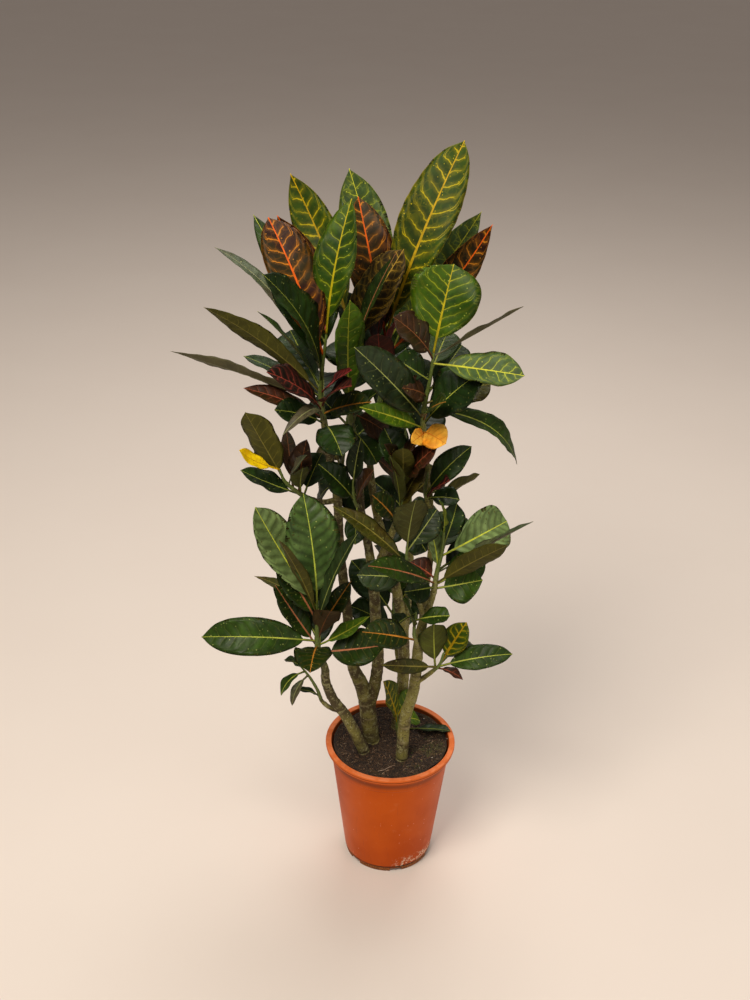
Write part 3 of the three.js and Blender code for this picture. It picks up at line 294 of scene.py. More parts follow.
# Colours are as seen on a screen, 0 to 255. blade and tint mottle the upper face, under is the lower
# face, vein and rib are the side veins and the midrib. rib_width is half the midrib's width in mm at the
# leaf's root, veins and specks say how strongly the side veins and the pale specks show, and net how
# strongly the fine net between the side veins does.
LOOK_FIELDS = ("blade", "tint", "under", "vein", "rib", "rib_width", "veins", "specks", "net")
LOOKS = {name: dict(zip(LOOK_FIELDS, values)) for name, *values in (
    ("fresh", (52, 78, 2), (34, 60, 4), (84, 96, 34), (150, 160, 26), (176, 160, 16), 1.7, 0.6, 0.8, 0.05),
    ("gold", (48, 70, 0), (42, 58, 0), (88, 98, 30), (178, 160, 8), (182, 148, 0), 2.2, 1, 0.9, 0.1),
    ("ember", (36, 28, 0), (40, 14, 2), (84, 46, 20), (190, 118, 22), (216, 92, 8), 2.1, 0.85, 0.6, 0.12),
    ("bronze", (42, 32, 6), (36, 38, 6), (74, 52, 24), (170, 134, 42), (176, 140, 50), 1.3, 0.9, 0.5, 0.3),
    ("pale", (64, 86, 44), (48, 68, 30), (84, 88, 44), (188, 198, 50), (206, 206, 60), 1.4, 0.6, 0.8, 0.3),
    # The next two looks are a grey-green and a dark green blade with painted glare: their blade and tint
    # colours are lightened to stand for the light shining off them.
    ("silver", (116, 136, 82), (96, 116, 66), (90, 92, 44), (132, 146, 74), (206, 214, 70), 1.3, 0.15, 0.2,
        0.03),
    ("glossy", (72, 94, 44), (56, 78, 34), (70, 70, 26), (96, 112, 50), (196, 208, 78), 1.3, 0.1, 0.3, 0),
    ("dusk", (38, 52, 26), (26, 38, 18), (60, 60, 22), (92, 104, 54), (166, 174, 90), 1, 0.3, 0.3, 0.05),
    ("deep", (30, 50, 12), (18, 34, 8), (58, 60, 16), (62, 84, 30), (156, 164, 62), 0.9, 0.25, 0.6, 0.03),
    ("green", (44, 68, 12), (30, 50, 8), (68, 72, 20), (96, 116, 36), (178, 186, 70), 1.1, 0.3, 0.8, 0.05),
    ("coral", (36, 56, 8), (22, 38, 6), (60, 56, 16), (96, 106, 34), (184, 112, 74), 1.4, 0.25, 1, 0.05),
    ("amber", (30, 46, 8), (20, 36, 8), (60, 58, 16), (126, 116, 36), (198, 130, 44), 1.4, 0.3, 0.8, 0.05),
    ("olive", (52, 54, 6), (58, 48, 10), (66, 64, 14), (126, 116, 42), (128, 118, 48), 1.1, 0.3, 0.3, 0.2),
    ("grey", (64, 74, 48), (72, 66, 46), (78, 74, 48), (108, 110, 76), (132, 134, 88), 1, 0.25, 0.2, 0.1),
    ("maroon", (34, 14, 10), (22, 16, 8), (66, 32, 22), (150, 60, 48), (166, 68, 50), 1.1, 0.75, 0.3, 0.15),
    ("umber", (44, 26, 10), (36, 34, 10), (58, 44, 18), (108, 70, 38), (130, 78, 42), 0.9, 0.45, 0.3, 0.1),
    ("rust", (60, 30, 14), (44, 34, 12), (74, 44, 24), (134, 70, 44), (160, 78, 50), 1.1, 0.6, 0.3, 0.1),
    ("red", (66, 16, 14), (46, 14, 12), (80, 28, 24), (176, 56, 54), (184, 66, 58), 1.1, 0.8, 0.2, 0.15),
    ("lime", (66, 96, 6), (48, 80, 6), (96, 106, 30), (140, 156, 34), (176, 176, 50), 1.2, 0.5, 0.5, 0.08),
    ("yellow", (252, 216, 12), (246, 194, 8), (232, 196, 30), (250, 206, 14), (232, 186, 20), 1, 0.95, 0, 0),
    ("orange", (218, 138, 28), (230, 176, 62), (208, 140, 44), (206, 124, 24), (204, 120, 30), 1, 0.9, 0,
        0.2),
)}

# ---------------- small helpers


def linear(colour):
    """A colour as seen on a screen, 0 to 255, as the light that it stands for."""
    shares = [c / 255 for c in colour]
    return tuple(c / 12.92 if c <= 0.04045 else ((c + 0.055) / 1.055) ** 2.4 for c in shares)


def chance(seed):
    """A repeatable draw between 0 and 1."""
    return (math.sin(seed * 12.9898 + 4.1414) * 43758.5453) % 1


def unit(v):
    return v / np.linalg.norm(v, axis=-1, keepdims=True)


def smooth(low, high, x):
    t = np.clip((x - low) / (high - low), 0, 1)
    return t * t * (3 - 2 * t)


def sight(px, py):
    """The direction of the line of sight through a pixel."""
    u = (px - EYE_MIDDLE[0]) / EYE_FOCAL
    v = (EYE_MIDDLE[1] - py) / EYE_FOCAL
    across = u * math.cos(EYE_ROLL) - v * math.sin(EYE_ROLL)
    upward = u * math.sin(EYE_ROLL) + v * math.cos(EYE_ROLL)
    forward = math.cos(EYE_PITCH) + upward * math.sin(EYE_PITCH)
    climb = upward * math.cos(EYE_PITCH) - math.sin(EYE_PITCH)
    return np.array((across, forward, climb))


def seen(px, py, depth):
    """The point that the view shows at a pixel, at a depth in mm behind the stem line."""
    line = sight(px, py)
    return EYE + line * ((STEM_LINE + depth * MM - EYE[1]) / line[1])


def seen_at_height(px, py, height):
    line = sight(px, py)
    return EYE + line * ((height - EYE[2]) / line[2])


class Shape:
    """Closed bodies gathered into one mesh, with values at their points for the materials to read."""

    def __init__(self):
        self.points = []
        self.faces = []
        self.values = []
        self.looks = []
        self.count = 0

    def add(self, points, faces, look=0, **values):
        self.points.append(np.asarray(points, float))
        self.faces += [[i + self.count for i in face] for face in faces]
        self.looks += [look] * len(faces)
        self.values.append((len(points), values))
        self.count += len(points)

    def piece(self, name, materials, slot, nodes, smoothed=True):
        mesh = bpy.data.meshes.new(name)
        mesh.from_pydata(np.concatenate(self.points), [], self.faces)
        for key in sorted({key for _, values in self.values for key in values}):
            wide = max(np.ndim(values[key]) and np.shape(values[key])[-1]
                       for _, values in self.values if key in values)
            kind, field, width = ("FLOAT_VECTOR", "vector", (3,)) if wide == 3 else ("FLOAT", "value", ())
            rows = [np.broadcast_to(values.get(key, 0.0), (count, *width)) for count, values in self.values]
            attribute = mesh.attributes.new(key, kind, "POINT")
            attribute.data.foreach_set(field, np.concatenate(rows).astype(np.float32).ravel())
        for material in materials:
            mesh.materials.append(material)
        mesh.polygons.foreach_set("material_index", self.looks)
        mesh.polygons.foreach_set("use_smooth", [smoothed] * len(mesh.polygons))
        mesh.update()
        return dress(name, mesh, nodes)


def dress(name, mesh, nodes):
    """Puts a mesh into the scene as a piece that rides on the pot and stands for its nodes."""
    piece = bpy.data.objects.new(name, mesh)
    bpy.context.scene.collection.objects.link(piece)
    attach(piece, "root")
    if nodes:
        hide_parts(*nodes)
    return piece


# ---------------- curves, stems and wood


class Curve:
    """A smooth curve through points, each span a cubic between them, with a radius all along."""

    def __init__(self, points, radii):
        points = np.asarray(points, float)
        first = 2 * points[0] - points[1]
        last = 2 * points[-1] - points[-2]
        self.points = np.concatenate(([first], points, [last]))
        self.radii = np.asarray(radii, float)
        self.spans = len(points) - 1

    def at(self, t):
        t = np.atleast_1d(t)
        span = np.clip(np.floor(t * self.spans).astype(int), 0, self.spans - 1)
        w = (t * self.spans - span)[:, None]
        p0, p1, p2, p3 = (self.points[span + k] for k in range(4))
        out, back = 0.5 * (p2 - p0), 0.5 * (p3 - p1)
        place = (p1 + out * w + (3 * (p2 - p1) - 2 * out - back) * w ** 2
                 + (2 * (p1 - p2) + out + back) * w ** 3)
        along = out + 2 * (3 * (p2 - p1) - 2 * out - back) * w + 3 * (2 * (p1 - p2) + out + back) * w ** 2
        return place, unit(along)

    def point(self, t):
        return self.at(t)[0][0]

    def radius(self, t):
        return np.interp(np.asarray(t) * self.spans, np.arange(len(self.radii)), self.radii)

    def length(self, start, end):
        places, _ = self.at(np.linspace(start, end, 60))
        return float(np.linalg.norm(np.diff(places, axis=0), axis=1).sum())


def grow(branch):
    """A branch's curve, and where its wood ends."""
    points = [seen(*p) for p in branch["wood"] + branch["stem"]]
    radii = [r * MM for r in branch["radii"]]
    steps = len(branch["stem"])
    radii += [radii[-1] + (TWIG_TIP_RADIUS - radii[-1]) * (i + 1) / steps for i in range(steps)]
    return Curve(points, radii), (len(branch["wood"]) - 1) / (len(points) - 1)


def angles(sides):
    return 2 * np.pi * np.arange(sides) / sides


def ring_faces(rings, sides):
    faces = []
    for i in range(rings - 1):
        for j in range(sides):
            a = i * sides + j
            b = i * sides + (j + 1) % sides
            faces.append((a, b, b + sides, a + sides))
    return faces


def turned_faces(rings, sides):
    """The faces of a turned body: a fan about its first point, its rings, and a fan about its last."""
    faces = []
    last = 1 + (rings - 1) * sides
    for j in range(sides):
        following = (j + 1) % sides
        faces.append((0, 1 + following, 1 + j))
        for a in range(1, last, sides):
            b = a + sides
            faces.append((a + j, a + following, b + following, b + j))
        faces.append((last + j, last + following, last + sides))
    return faces


def tube(shape, places, alongs, radii, sides, swell=None, **values):
    """A closed round body through rings, with each point pushed out by swell (rings by sides)."""
    side = unit(np.cross(np.array((0.0, 1.0, 0.0)), alongs))
    front = np.cross(alongs, side)
    angle = angles(sides)
    reach = radii[:, None] + (0 if swell is None else swell)
    points = (places[:, None] + side[:, None] * (reach * np.cos(angle))[..., None]
              + front[:, None] * (reach * np.sin(angle))[..., None])
    rings = len(places)
    faces = ring_faces(rings, sides)
    faces.append(tuple(range(sides))[::-1])
    faces.append(tuple(range((rings - 1) * sides, rings * sides)))
    per_point = {key: np.repeat(value, sides) if np.ndim(value) == 1 and len(value) == rings
                 else np.reshape(value, -1) if np.ndim(value) == 2 else value
                 for key, value in values.items()}
    shape.add(points.reshape(-1, 3), faces, 0, **per_point)


def scars(length_along, sides, spacing, height, seed):
    """The ridges that fallen leaves leave on a stem: each a low band round one side of it."""
    angle = angles(sides)
    swell = np.zeros((len(length_along), sides))
    at = spacing * (0.3 + chance(seed))
    turn = 2 * np.pi * chance(seed + 1)
    while at < length_along[-1]:
        band = np.exp(-((length_along - at) / SCAR_HALF) ** 2)
        facing = 0.35 + 0.65 * np.clip(np.cos(angle - turn), 0, 1)
        swell += height * band[:, None] * facing
        at += spacing * (0.6 + 0.8 * chance(seed + at * 1000))
        turn += SCAR_TURN
    return swell


def limb(shape, curve, start, end, sides, spacing, height, ages, seed, tip_bud=False):
    """A stretch of stem, with its leaf scars, knobs and age for the bark's colour."""
    rings = max(6, int(curve.length(start, end) / RING_STEP))
    t = np.linspace(start, end, rings)
    places, alongs = curve.at(t)
    steps = np.linalg.norm(np.diff(places, axis=0), axis=1)
    length_along = np.concatenate(([0], np.cumsum(steps)))
    radii = curve.radius(t)
    marks = scars(length_along, sides, spacing, height, seed)
    angle = angles(sides)
    lumps = np.array([[noise.noise(Vector((math.cos(a) * 1.3, math.sin(a) * 1.3, s / (9 * MM) + seed)))
                       for a in angle] for s in length_along])
    swell = marks + KNOBS * radii[:, None] * lumps
    age = np.interp(np.linspace(0, 1, rings), (0, 1), ages)
    if tip_bud:
        radii = radii * np.sqrt(np.clip((1 - np.linspace(0, 1, rings)) / 0.04, 0.15, 1))
    tube(shape, places, alongs, radii, sides, swell, age=age, scar=marks / height)


# ---------------- leaves

ACROSS_STEPS = 7
EVEN = np.linspace(-1, 1, 2 * ACROSS_STEPS + 1)
ACROSS = EVEN * (0.35 + 0.65 * np.abs(EVEN))


def outline(u, point):
    """Half the width of a blade as a share of the widest, from its root (0) to its drawn-out tip (1)."""
    widest = ROOT_FULLNESS / (ROOT_FULLNESS + point)
    top = widest ** ROOT_FULLNESS * (1 - widest) ** point
    u = np.clip(u, 0, 1)
    return u ** ROOT_FULLNESS * (1 - u) ** point / top * (1 - np.exp(-(1 - u) / DRIP_TIP))


def leaf(shape, base, tip, width, roll, bow, point, seed, look, material=0):
    """A leaf from its root inside the stem to its tip: its petiole, and its folded and rippled blade."""
    width, bow = width * MM, bow * MM
    chord = tip - base
    length = float(np.linalg.norm(chord))
    along = chord / length
    up = unit(np.array((0, 0, 1.0)) - along * along[2])
    turn = math.radians(roll)
    up = up * math.cos(turn) + np.cross(along, up) * math.sin(turn)
    side = np.cross(along, up)
    petiole = min(PETIOLE_LIMIT, PETIOLE_LENGTH / length + PETIOLE_SHARE)
    blade = length * (1 - petiole)
    sections = int(np.clip(blade / SECTION_STEP, 14, 56))
    u = np.concatenate((np.zeros(4), np.linspace(0, 1, sections + 1)[:-1], [0.985]))
    s = petiole + (1 - petiole) * u
    s[:4] = petiole * np.arange(4) / 4
    style = LOOKS[look]
    spacing = VEIN_STEP + VEIN_STEP_SHARE * blade
    phase, lag = chance(seed), (1 + chance(seed + 0.5)) / 8

    place = base + chord * s[:, None] + up * (bow * 4 * s * (1 - s))[:, None]
    course = unit(chord + up * (bow * 4 * (1 - 2 * s))[:, None])
    rise = np.cross(side, course)
    shown = outline(u, point)
    half = PETIOLE_HALF * (1 - u) + 0.5 * width * shown
    v = ACROSS[None, :]
    absolute = np.abs(v)
    x = half[:, None] * v
    run = u[:, None] * blade
    arch = VEIN_ARCH * spacing * smooth(0.55, 0.95, absolute) ** 2
    cell = (run - VEIN_SLANT * np.abs(x) - arch) / spacing + 0.5 * (v > 0)
    wave = np.sin(2 * np.pi * (RIPPLES_PER_LEAF * u[:, None] + phase + v * lag))
    frill = np.sin(2 * np.pi * (run / FRILL_STEP + 3 * phase + 0.3 * np.sign(v)))
    wide = (0.5 * width * shown)[:, None]
    lift = half[:, None] * math.sin(FOLD) * absolute ** 1.1
    lift = lift + RIPPLE * wide * wave * absolute ** 1.7 + 0.03 * wide * frill * absolute ** 4
    between = smooth(0.04, 0.25, absolute) * (1 - smooth(0.7, 1, absolute))
    swell = QUILT * (1.15 - style["veins"]) * (wide / QUILT_FULL_WIDTH).clip(0, 1)
    lift = lift + swell * between * np.cos(2 * np.pi * cell)
    lift[:4] = 0

    body = smooth(0, 0.07, u)[:, None]
    rib = NECK_HALF_THICK + (TIP_HALF_THICK - NECK_HALF_THICK) * np.sqrt(u)
    rib[:4] = PETIOLE_HALF_THICK + (NECK_HALF_THICK - PETIOLE_HALF_THICK) * np.arange(4) / 4
    rib_reach = 0.9 * MM + 0.9 * MM * (1 - u)
    round_half = rib[:, None] * np.sqrt((1 - v ** 2).clip(0, 1))
    ridge = (rib[:, None] - BLADE_HALF) * np.exp(-(x / rib_reach[:, None]) ** 2)
    thin = BLADE_HALF * (1 - absolute ** 6)
    above = round_half * (1 - body) + (thin + 0.35 * ridge) * body
    below = round_half * (1 - body) + (thin + ridge) * body

    flat = place[:, None] + side * (x * math.cos(FOLD))[..., None]
    top = flat + rise[:, None] * (lift + above)[..., None]
    under = flat + rise[:, None] * (lift - below)[..., None]
    ring = np.concatenate((top, under[:, -2:0:-1]), axis=1)
    sides = ring.shape[1]
    rings = len(u)
    points = np.concatenate((ring.reshape(-1, 3), [tip]))
    faces = ring_faces(rings, sides)
    last = (rings - 1) * sides
    faces += [(last + j, last + (j + 1) % sides, rings * sides) for j in range(sides)]
    faces.append(tuple(range(sides))[::-1])

    def round_ring(values, at_tip):
        values = np.broadcast_to(values, (rings, len(ACROSS)))
        return np.append(np.concatenate((values, values[:, -2:0:-1]), axis=1).ravel(), at_tip)

    run[:4] = (s[:4, None] - petiole) * length
    upper = np.ones(len(ACROSS))
    upper[[0, -1]] = 0.5
    facing = np.concatenate((upper, np.zeros(len(ACROSS) - 2)))
    shade = 0.8 + 0.36 * chance(seed + 0.25)
    shades = {"blade": shade, "tint": shade, "under": 1, "vein": 1, "rib": 1}
    shape.add(
        points, faces, material,
        **{"leaf_" + key: np.array(linear(style[key])) * share for key, share in shades.items()},
        leaf_at=np.stack((round_ring(run, blade), round_ring(x, 0), round_ring(v, 0)), 1),
        leaf_span=round_ring(u[:, None], 1),
        leaf_side=np.append(np.tile(facing, rings), 0.5),
        leaf_traits=np.array((style["veins"], style["specks"], style["net"])),
        leaf_gauge=np.array((style["rib_width"] * MM, spacing, 10 * chance(seed + 0.75))),
    )


def leaf_ends(curve, split, row):
    """Where a leaf leaves its stem, and its tip."""
    root = curve.point(split + (1 - split) * row[0])
    return root, seen(row[1], row[2], (root[1] - STEM_LINE) / MM + row[3])

# ---------------- materials


class Look:
    """A material's node tree, written as sums: a method makes nodes and gives an output of the last one.
    A colour is as seen on a screen, 0 to 255, or another node's output."""

    def __init__(self, name):
        self.material = bpy.data.materials.new(name)
        self.material.use_nodes = True
        self.tree = self.material.node_tree
        self.shader = self.tree.nodes["Principled BSDF"]
        self.colour = None

    def put(self, socket, value):
        if isinstance(value, bpy.types.NodeSocket):
            self.tree.links.new(value, socket)
        else:
            socket.default_value = (*linear(value), 1) if socket.type == "RGBA" else value

    def make(self, kind, inputs, output=0, **settings):
        """One output of a new node, with its inputs given by name or number."""
        made = self.tree.nodes.new("ShaderNode" + kind)
        for key, value in settings.items():
            setattr(made, key, value)
        for name, value in inputs.items():
            self.put(made.inputs[name], value)
        return made.outputs[output]

    def math(self, operation, *values):
        return self.make("Math", dict(enumerate(values)), operation=operation)

    def times(self, a, b):
        return self.math("MULTIPLY", a, b)

    def plus(self, a, b):
        return self.math("ADD", a, b)

    def minus(self, a, b):
        return self.math("SUBTRACT", a, b)

    def ramp(self, value, low, high, out_low=0.0, out_high=1.0):
        """out_low below low, out_high above high, and a smooth way between."""
        inputs = {"Value": value, "From Min": low, "From Max": high, "To Min": out_low, "To Max": out_high}
        return self.make("MapRange", inputs, interpolation_type="SMOOTHSTEP")

    def band(self, value, *edges):
        """0 below the first of four edges, 1 between the second and the third, 0 above the fourth."""
        return self.times(self.ramp(value, *edges[:2]), self.ramp(value, *edges[2:], 1.0, 0.0))

    def mix(self, share, a, b):
        return self.make("Mix", {"Factor": share, "A": a, "B": b}, "Result", data_type="RGBA")

    def lay(self, share, colour):
        """Lays a share of a colour over the colour so far."""
        self.colour = self.mix(share, self.colour, colour)

    def scaled(self, colour, share):
        return self.make("VectorMath", {0: colour, "Scale": share}, operation="SCALE")

    def value(self, name, kind="Fac"):
        return self.make("Attribute", {}, kind, attribute_name=name)

    def parts(self, vector):
        return self.make("SeparateXYZ", {0: vector}).node.outputs[:]

    def vector(self, *parts):
        return self.make("CombineXYZ", dict(enumerate(parts)))

    def place(self):
        """The point on the object, in metres."""
        return self.make("TexCoord", {}, "Object")

    def noise(self, at, scale, detail=3.0, rough=0.55):
        inputs = {"Vector": at, "Scale": scale, "Detail": detail, "Roughness": rough}
        return self.make("TexNoise", inputs)

    def patches(self, at, scale, detail, *bounds):
        return self.ramp(self.noise(at, scale, detail), *bounds)

    def cells(self, at, scale, feature="F1"):
        """The distance from the middle of each cell, or from its edge."""
        return self.make("TexVoronoi", {"Vector": at, "Scale": scale}, "Distance", feature=feature)

    def draw(self, cells):
        """A number drawn for each cell."""
        return self.parts(cells.node.outputs["Color"])[0]

    def random(self, number):
        return self.make("TexWhiteNoise", {"W": number}, "Value", noise_dimensions="1D")

    def bump(self, height, distance, strength):
        inputs = {"Strength": strength, "Distance": distance, "Height": height}
        self.put(self.shader.inputs["Normal"], self.make("Bump", inputs))

    def finish(self, roughness, **settings):
        for name, value in {"Base_Color": self.colour, "Roughness": roughness, **settings}.items():
            self.put(self.shader.inputs[name.replace("_", " ")], value)
        return self.material


LEAF_SPECK = (164, 172, 96)
DEAD_SPOT = (40, 40, 14)
VEIN_BASE_WIDTH = 0.12 * MM


def leaf_material(name, spots=0.0):
    """A croton leaf: midrib, arching side veins, a net between them, pale specks and a mottled blade.
    spots is how much of it has gone dark as it dies."""
    k = Look(name)
    run, across, share = k.parts(k.value("leaf_at", "Vector"))
    veins, specks, net = k.parts(k.value("leaf_traits", "Vector"))
    rib_width, spacing, seed = k.parts(k.value("leaf_gauge", "Vector"))
    span = k.value("leaf_span")
    upper = k.math("GREATER_THAN", k.value("leaf_side"), 0.4999)
    aside = k.math("ABSOLUTE", across)
    outward = k.math("ABSOLUTE", share)
    right = k.math("GREATER_THAN", share, 0.0)
    on_leaf = k.vector(run, across, seed)

    # The side veins: lines that leave the midrib aslant and arch forward near the margin.
    wobble = k.minus(k.noise(on_leaf, 70.0, 2.0), 0.5)
    arch = k.math("POWER", k.ramp(outward, 0.55, 0.95), 2.0)
    ahead = k.minus(run, k.times(aside, VEIN_SLANT))
    order = k.minus(k.math("DIVIDE", ahead, spacing), k.times(arch, VEIN_ARCH))
    order = k.plus(k.plus(order, k.times(right, 0.5)), k.times(wobble, 0.6))
    draw = k.random(k.plus(k.plus(k.math("FLOOR", order), k.times(right, 31.3)), k.times(seed, 7.1)))
    off = k.math("ABSOLUTE", k.minus(k.math("FRACT", order), 0.5))
    distance = k.times(off, spacing)
    vein_width = k.plus(k.times(rib_width, k.ramp(outward, 0.0, 0.9, 0.42, 0.18)), VEIN_BASE_WIDTH)
    fork = k.times(k.ramp(outward, 0.5, 0.86, 0.0, 0.24), k.math("GREATER_THAN", draw, 0.4))
    branch = k.times(k.math("ABSOLUTE", k.minus(off, fork)), spacing)
    line = k.ramp(branch, k.times(vein_width, 0.5), k.times(vein_width, 1.5), 1.0, 0.0)
    reach = k.plus(k.times(draw, 0.5), 0.5)
    kept = k.times(line, k.ramp(outward, k.times(reach, 0.8), reach, 1.0, 0.0))
    vein = k.times(k.times(kept, k.ramp(draw, 0.05, 0.5, 0.45, 1.0)), veins)
    stub = k.times(k.ramp(outward, 0.04, 0.15, 1.0, 0.0), k.math("MINIMUM", veins, 0.45))
    bleed = k.times(k.ramp(distance, 0.0, k.times(spacing, 0.4), 0.16, 0.0), veins)

    # The net and the specks.
    warped = k.vector(k.plus(run, k.times(wobble, 0.012)), k.plus(across, k.times(wobble, 0.01)), seed)
    edge = k.ramp(k.cells(warped, 105.0, "DISTANCE_TO_EDGE"), 0.03, 0.1, 1.0, 0.0)
    mesh = k.times(k.times(edge, k.patches(on_leaf, 45.0, 2.0, 0.42, 0.6)), net)
    dots = k.cells(on_leaf, 260.0)
    lucky = k.ramp(k.draw(dots), k.minus(1.0, k.times(specks, 0.22)), 1.0)
    dot = k.times(k.ramp(dots, 0.12, 0.32, 1.0, 0.0), k.math("SQRT", lucky))

    # The midrib, wide at the root and thin at the tip.
    rib_half = k.times(rib_width, k.ramp(span, 0.0, 1.0, 1.0, 0.35))
    rib = k.ramp(aside, k.times(rib_half, 0.75), k.times(rib_half, 1.15), 1.0, 0.0)
    rib_tone = k.patches(on_leaf, 120.0, 2.0, 0.3, 0.7, 0.8, 1.15)
    rib_colour = k.scaled(k.value("leaf_rib", "Color"), rib_tone)
    rib_colour = k.scaled(rib_colour, k.ramp(span, 0.0, 0.22, 0.6, 1.0))

    # The upper face, then the lower one.
    vein_colour = k.value("leaf_vein", "Color")
    blade = k.mix(k.patches(on_leaf, 16.0, 2.0, 0.42, 0.6),
                  k.value("leaf_blade", "Color"), k.value("leaf_tint", "Color"))
    blade = k.scaled(blade, k.patches(on_leaf, 90.0, 3.0, 0.3, 0.7, 0.78, 1.22))
    # Leaves with faint side veins get painted shade and light: darker along the side veins and lighter on
    # the pillows between them, for the light on their quilting.
    plain = k.math("MAXIMUM", k.minus(0.95, veins), 0.0)
    between = k.ramp(distance, 0.0, k.times(spacing, 0.4), 0.55, 1.25)
    k.colour = k.mix(plain, blade, k.scaled(blade, between))
    k.lay(bleed, vein_colour)
    k.lay(k.times(mesh, 0.8), vein_colour)
    k.lay(dot, k.mix(plain, vein_colour, LEAF_SPECK))
    k.lay(vein, vein_colour)
    k.lay(k.times(k.ramp(outward, 0.955, 0.985), k.times(veins, 0.45)), vein_colour)
    k.lay(k.math("MAXIMUM", rib, k.times(line, stub)), rib_colour)
    top = k.colour
    under_tone = k.patches(on_leaf, 40.0, 3.0, 0.3, 0.7, 0.75, 1.2)
    k.colour = k.scaled(k.value("leaf_under", "Color"), under_tone)
    k.lay(k.times(line, 0.3), vein_colour)
    k.lay(k.times(rib, 0.7), rib_colour)
    k.lay(upper, top)
    if spots:
        round_spot = k.ramp(k.cells(on_leaf, 300.0), 0.2, 0.4, 1.0, 0.0)
        hit = k.plus(k.patches(on_leaf, 30.0, 2.0, 0.5, 0.7, 0.0, 0.6), k.ramp(span, 0.1, 0.55, 0.5, 0.0))
        k.lay(k.times(round_spot, k.math("MINIMUM", hit, spots)), DEAD_SPOT)

    quilt = k.times(k.ramp(distance, 0.0, k.times(spacing, 0.35)), k.minus(0.75, k.times(veins, 0.6)))
    grain = k.times(k.noise(on_leaf, 900.0, 2.0), 0.12)
    k.bump(k.plus(quilt, k.plus(grain, k.times(rib, 0.5))), 0.5 * MM, 0.8)
    uneven = k.times(k.minus(k.noise(on_leaf, 60.0, 3.0), 0.5), 0.2)
    rough = k.plus(k.plus(k.ramp(upper, 0.0, 1.0, 0.6, 0.38), uneven), k.times(veins, 0.2))
    return k.finish(rough, Specular_IOR_Level=0.3, IOR=1.38)


BARK = dict(olive=(126, 120, 56), brown=(74, 62, 30), grey=(142, 138, 92), crack=(54, 44, 24),
            pore=(172, 166, 112), scar=(136, 124, 86), young=(96, 112, 40), young_dark=(74, 88, 34),
            foot=(58, 46, 34))


def bark_material():
    """Stem and wood: green at the young end, olive and grey with pale pores and leaf scars at the old."""
    k = Look("croton_bark")
    at = k.place()
    age = k.value("age")
    broad = k.noise(at, 42.0, 4.0)
    fine = k.noise(at, 420.0, 3.0, 0.7)
    browner = k.ramp(k.minus(broad, k.times(k.parts(at)[0], 1.2)), 0.4, 0.62)
    k.colour = k.mix(browner, BARK["olive"], BARK["brown"])
    k.lay(k.ramp(k.noise(at, 130.0, 4.0, 0.65), 0.52, 0.64), BARK["grey"])
    k.lay(k.ramp(fine, 0.52, 0.68), BARK["crack"])
    pores = k.cells(at, 240.0)
    pore = k.times(k.ramp(pores, 0.12, 0.3, 1.0, 0.0), k.ramp(k.draw(pores), 0.5, 0.6))
    k.lay(k.times(pore, 0.8), BARK["pore"])
    k.lay(k.ramp(k.value("scar"), 0.2, 0.7, 0.0, 0.55), BARK["scar"])
    young = k.mix(k.ramp(fine, 0.4, 0.65), BARK["young"], BARK["young_dark"])
    k.lay(k.ramp(k.plus(age, k.times(k.minus(broad, 0.5), 0.3)), 0.55, 0.8), young)
    k.lay(k.ramp(age, 0.0, 0.02, 0.3, 0.0), BARK["foot"])
    k.bump(k.plus(fine, k.times(pore, 0.4)), 0.7 * MM, 0.9)
    return k.finish(k.ramp(age, 0.5, 0.9, 0.8, 0.5))


POT = dict(body=(198, 84, 0), shade=(182, 72, 0), rim=(206, 98, 36), scuff=(200, 108, 56),
           streak=(150, 62, 28), speck=(236, 190, 160), lime=(226, 206, 178), dirt=(146, 100, 60),
           dark_dirt=(88, 60, 34), foot_line=(22, 15, 9), ledge=(132, 48, 4), groove=(120, 44, 8),
           painted_edge_highlight=(226, 132, 84), inner_darker=(92, 52, 32))


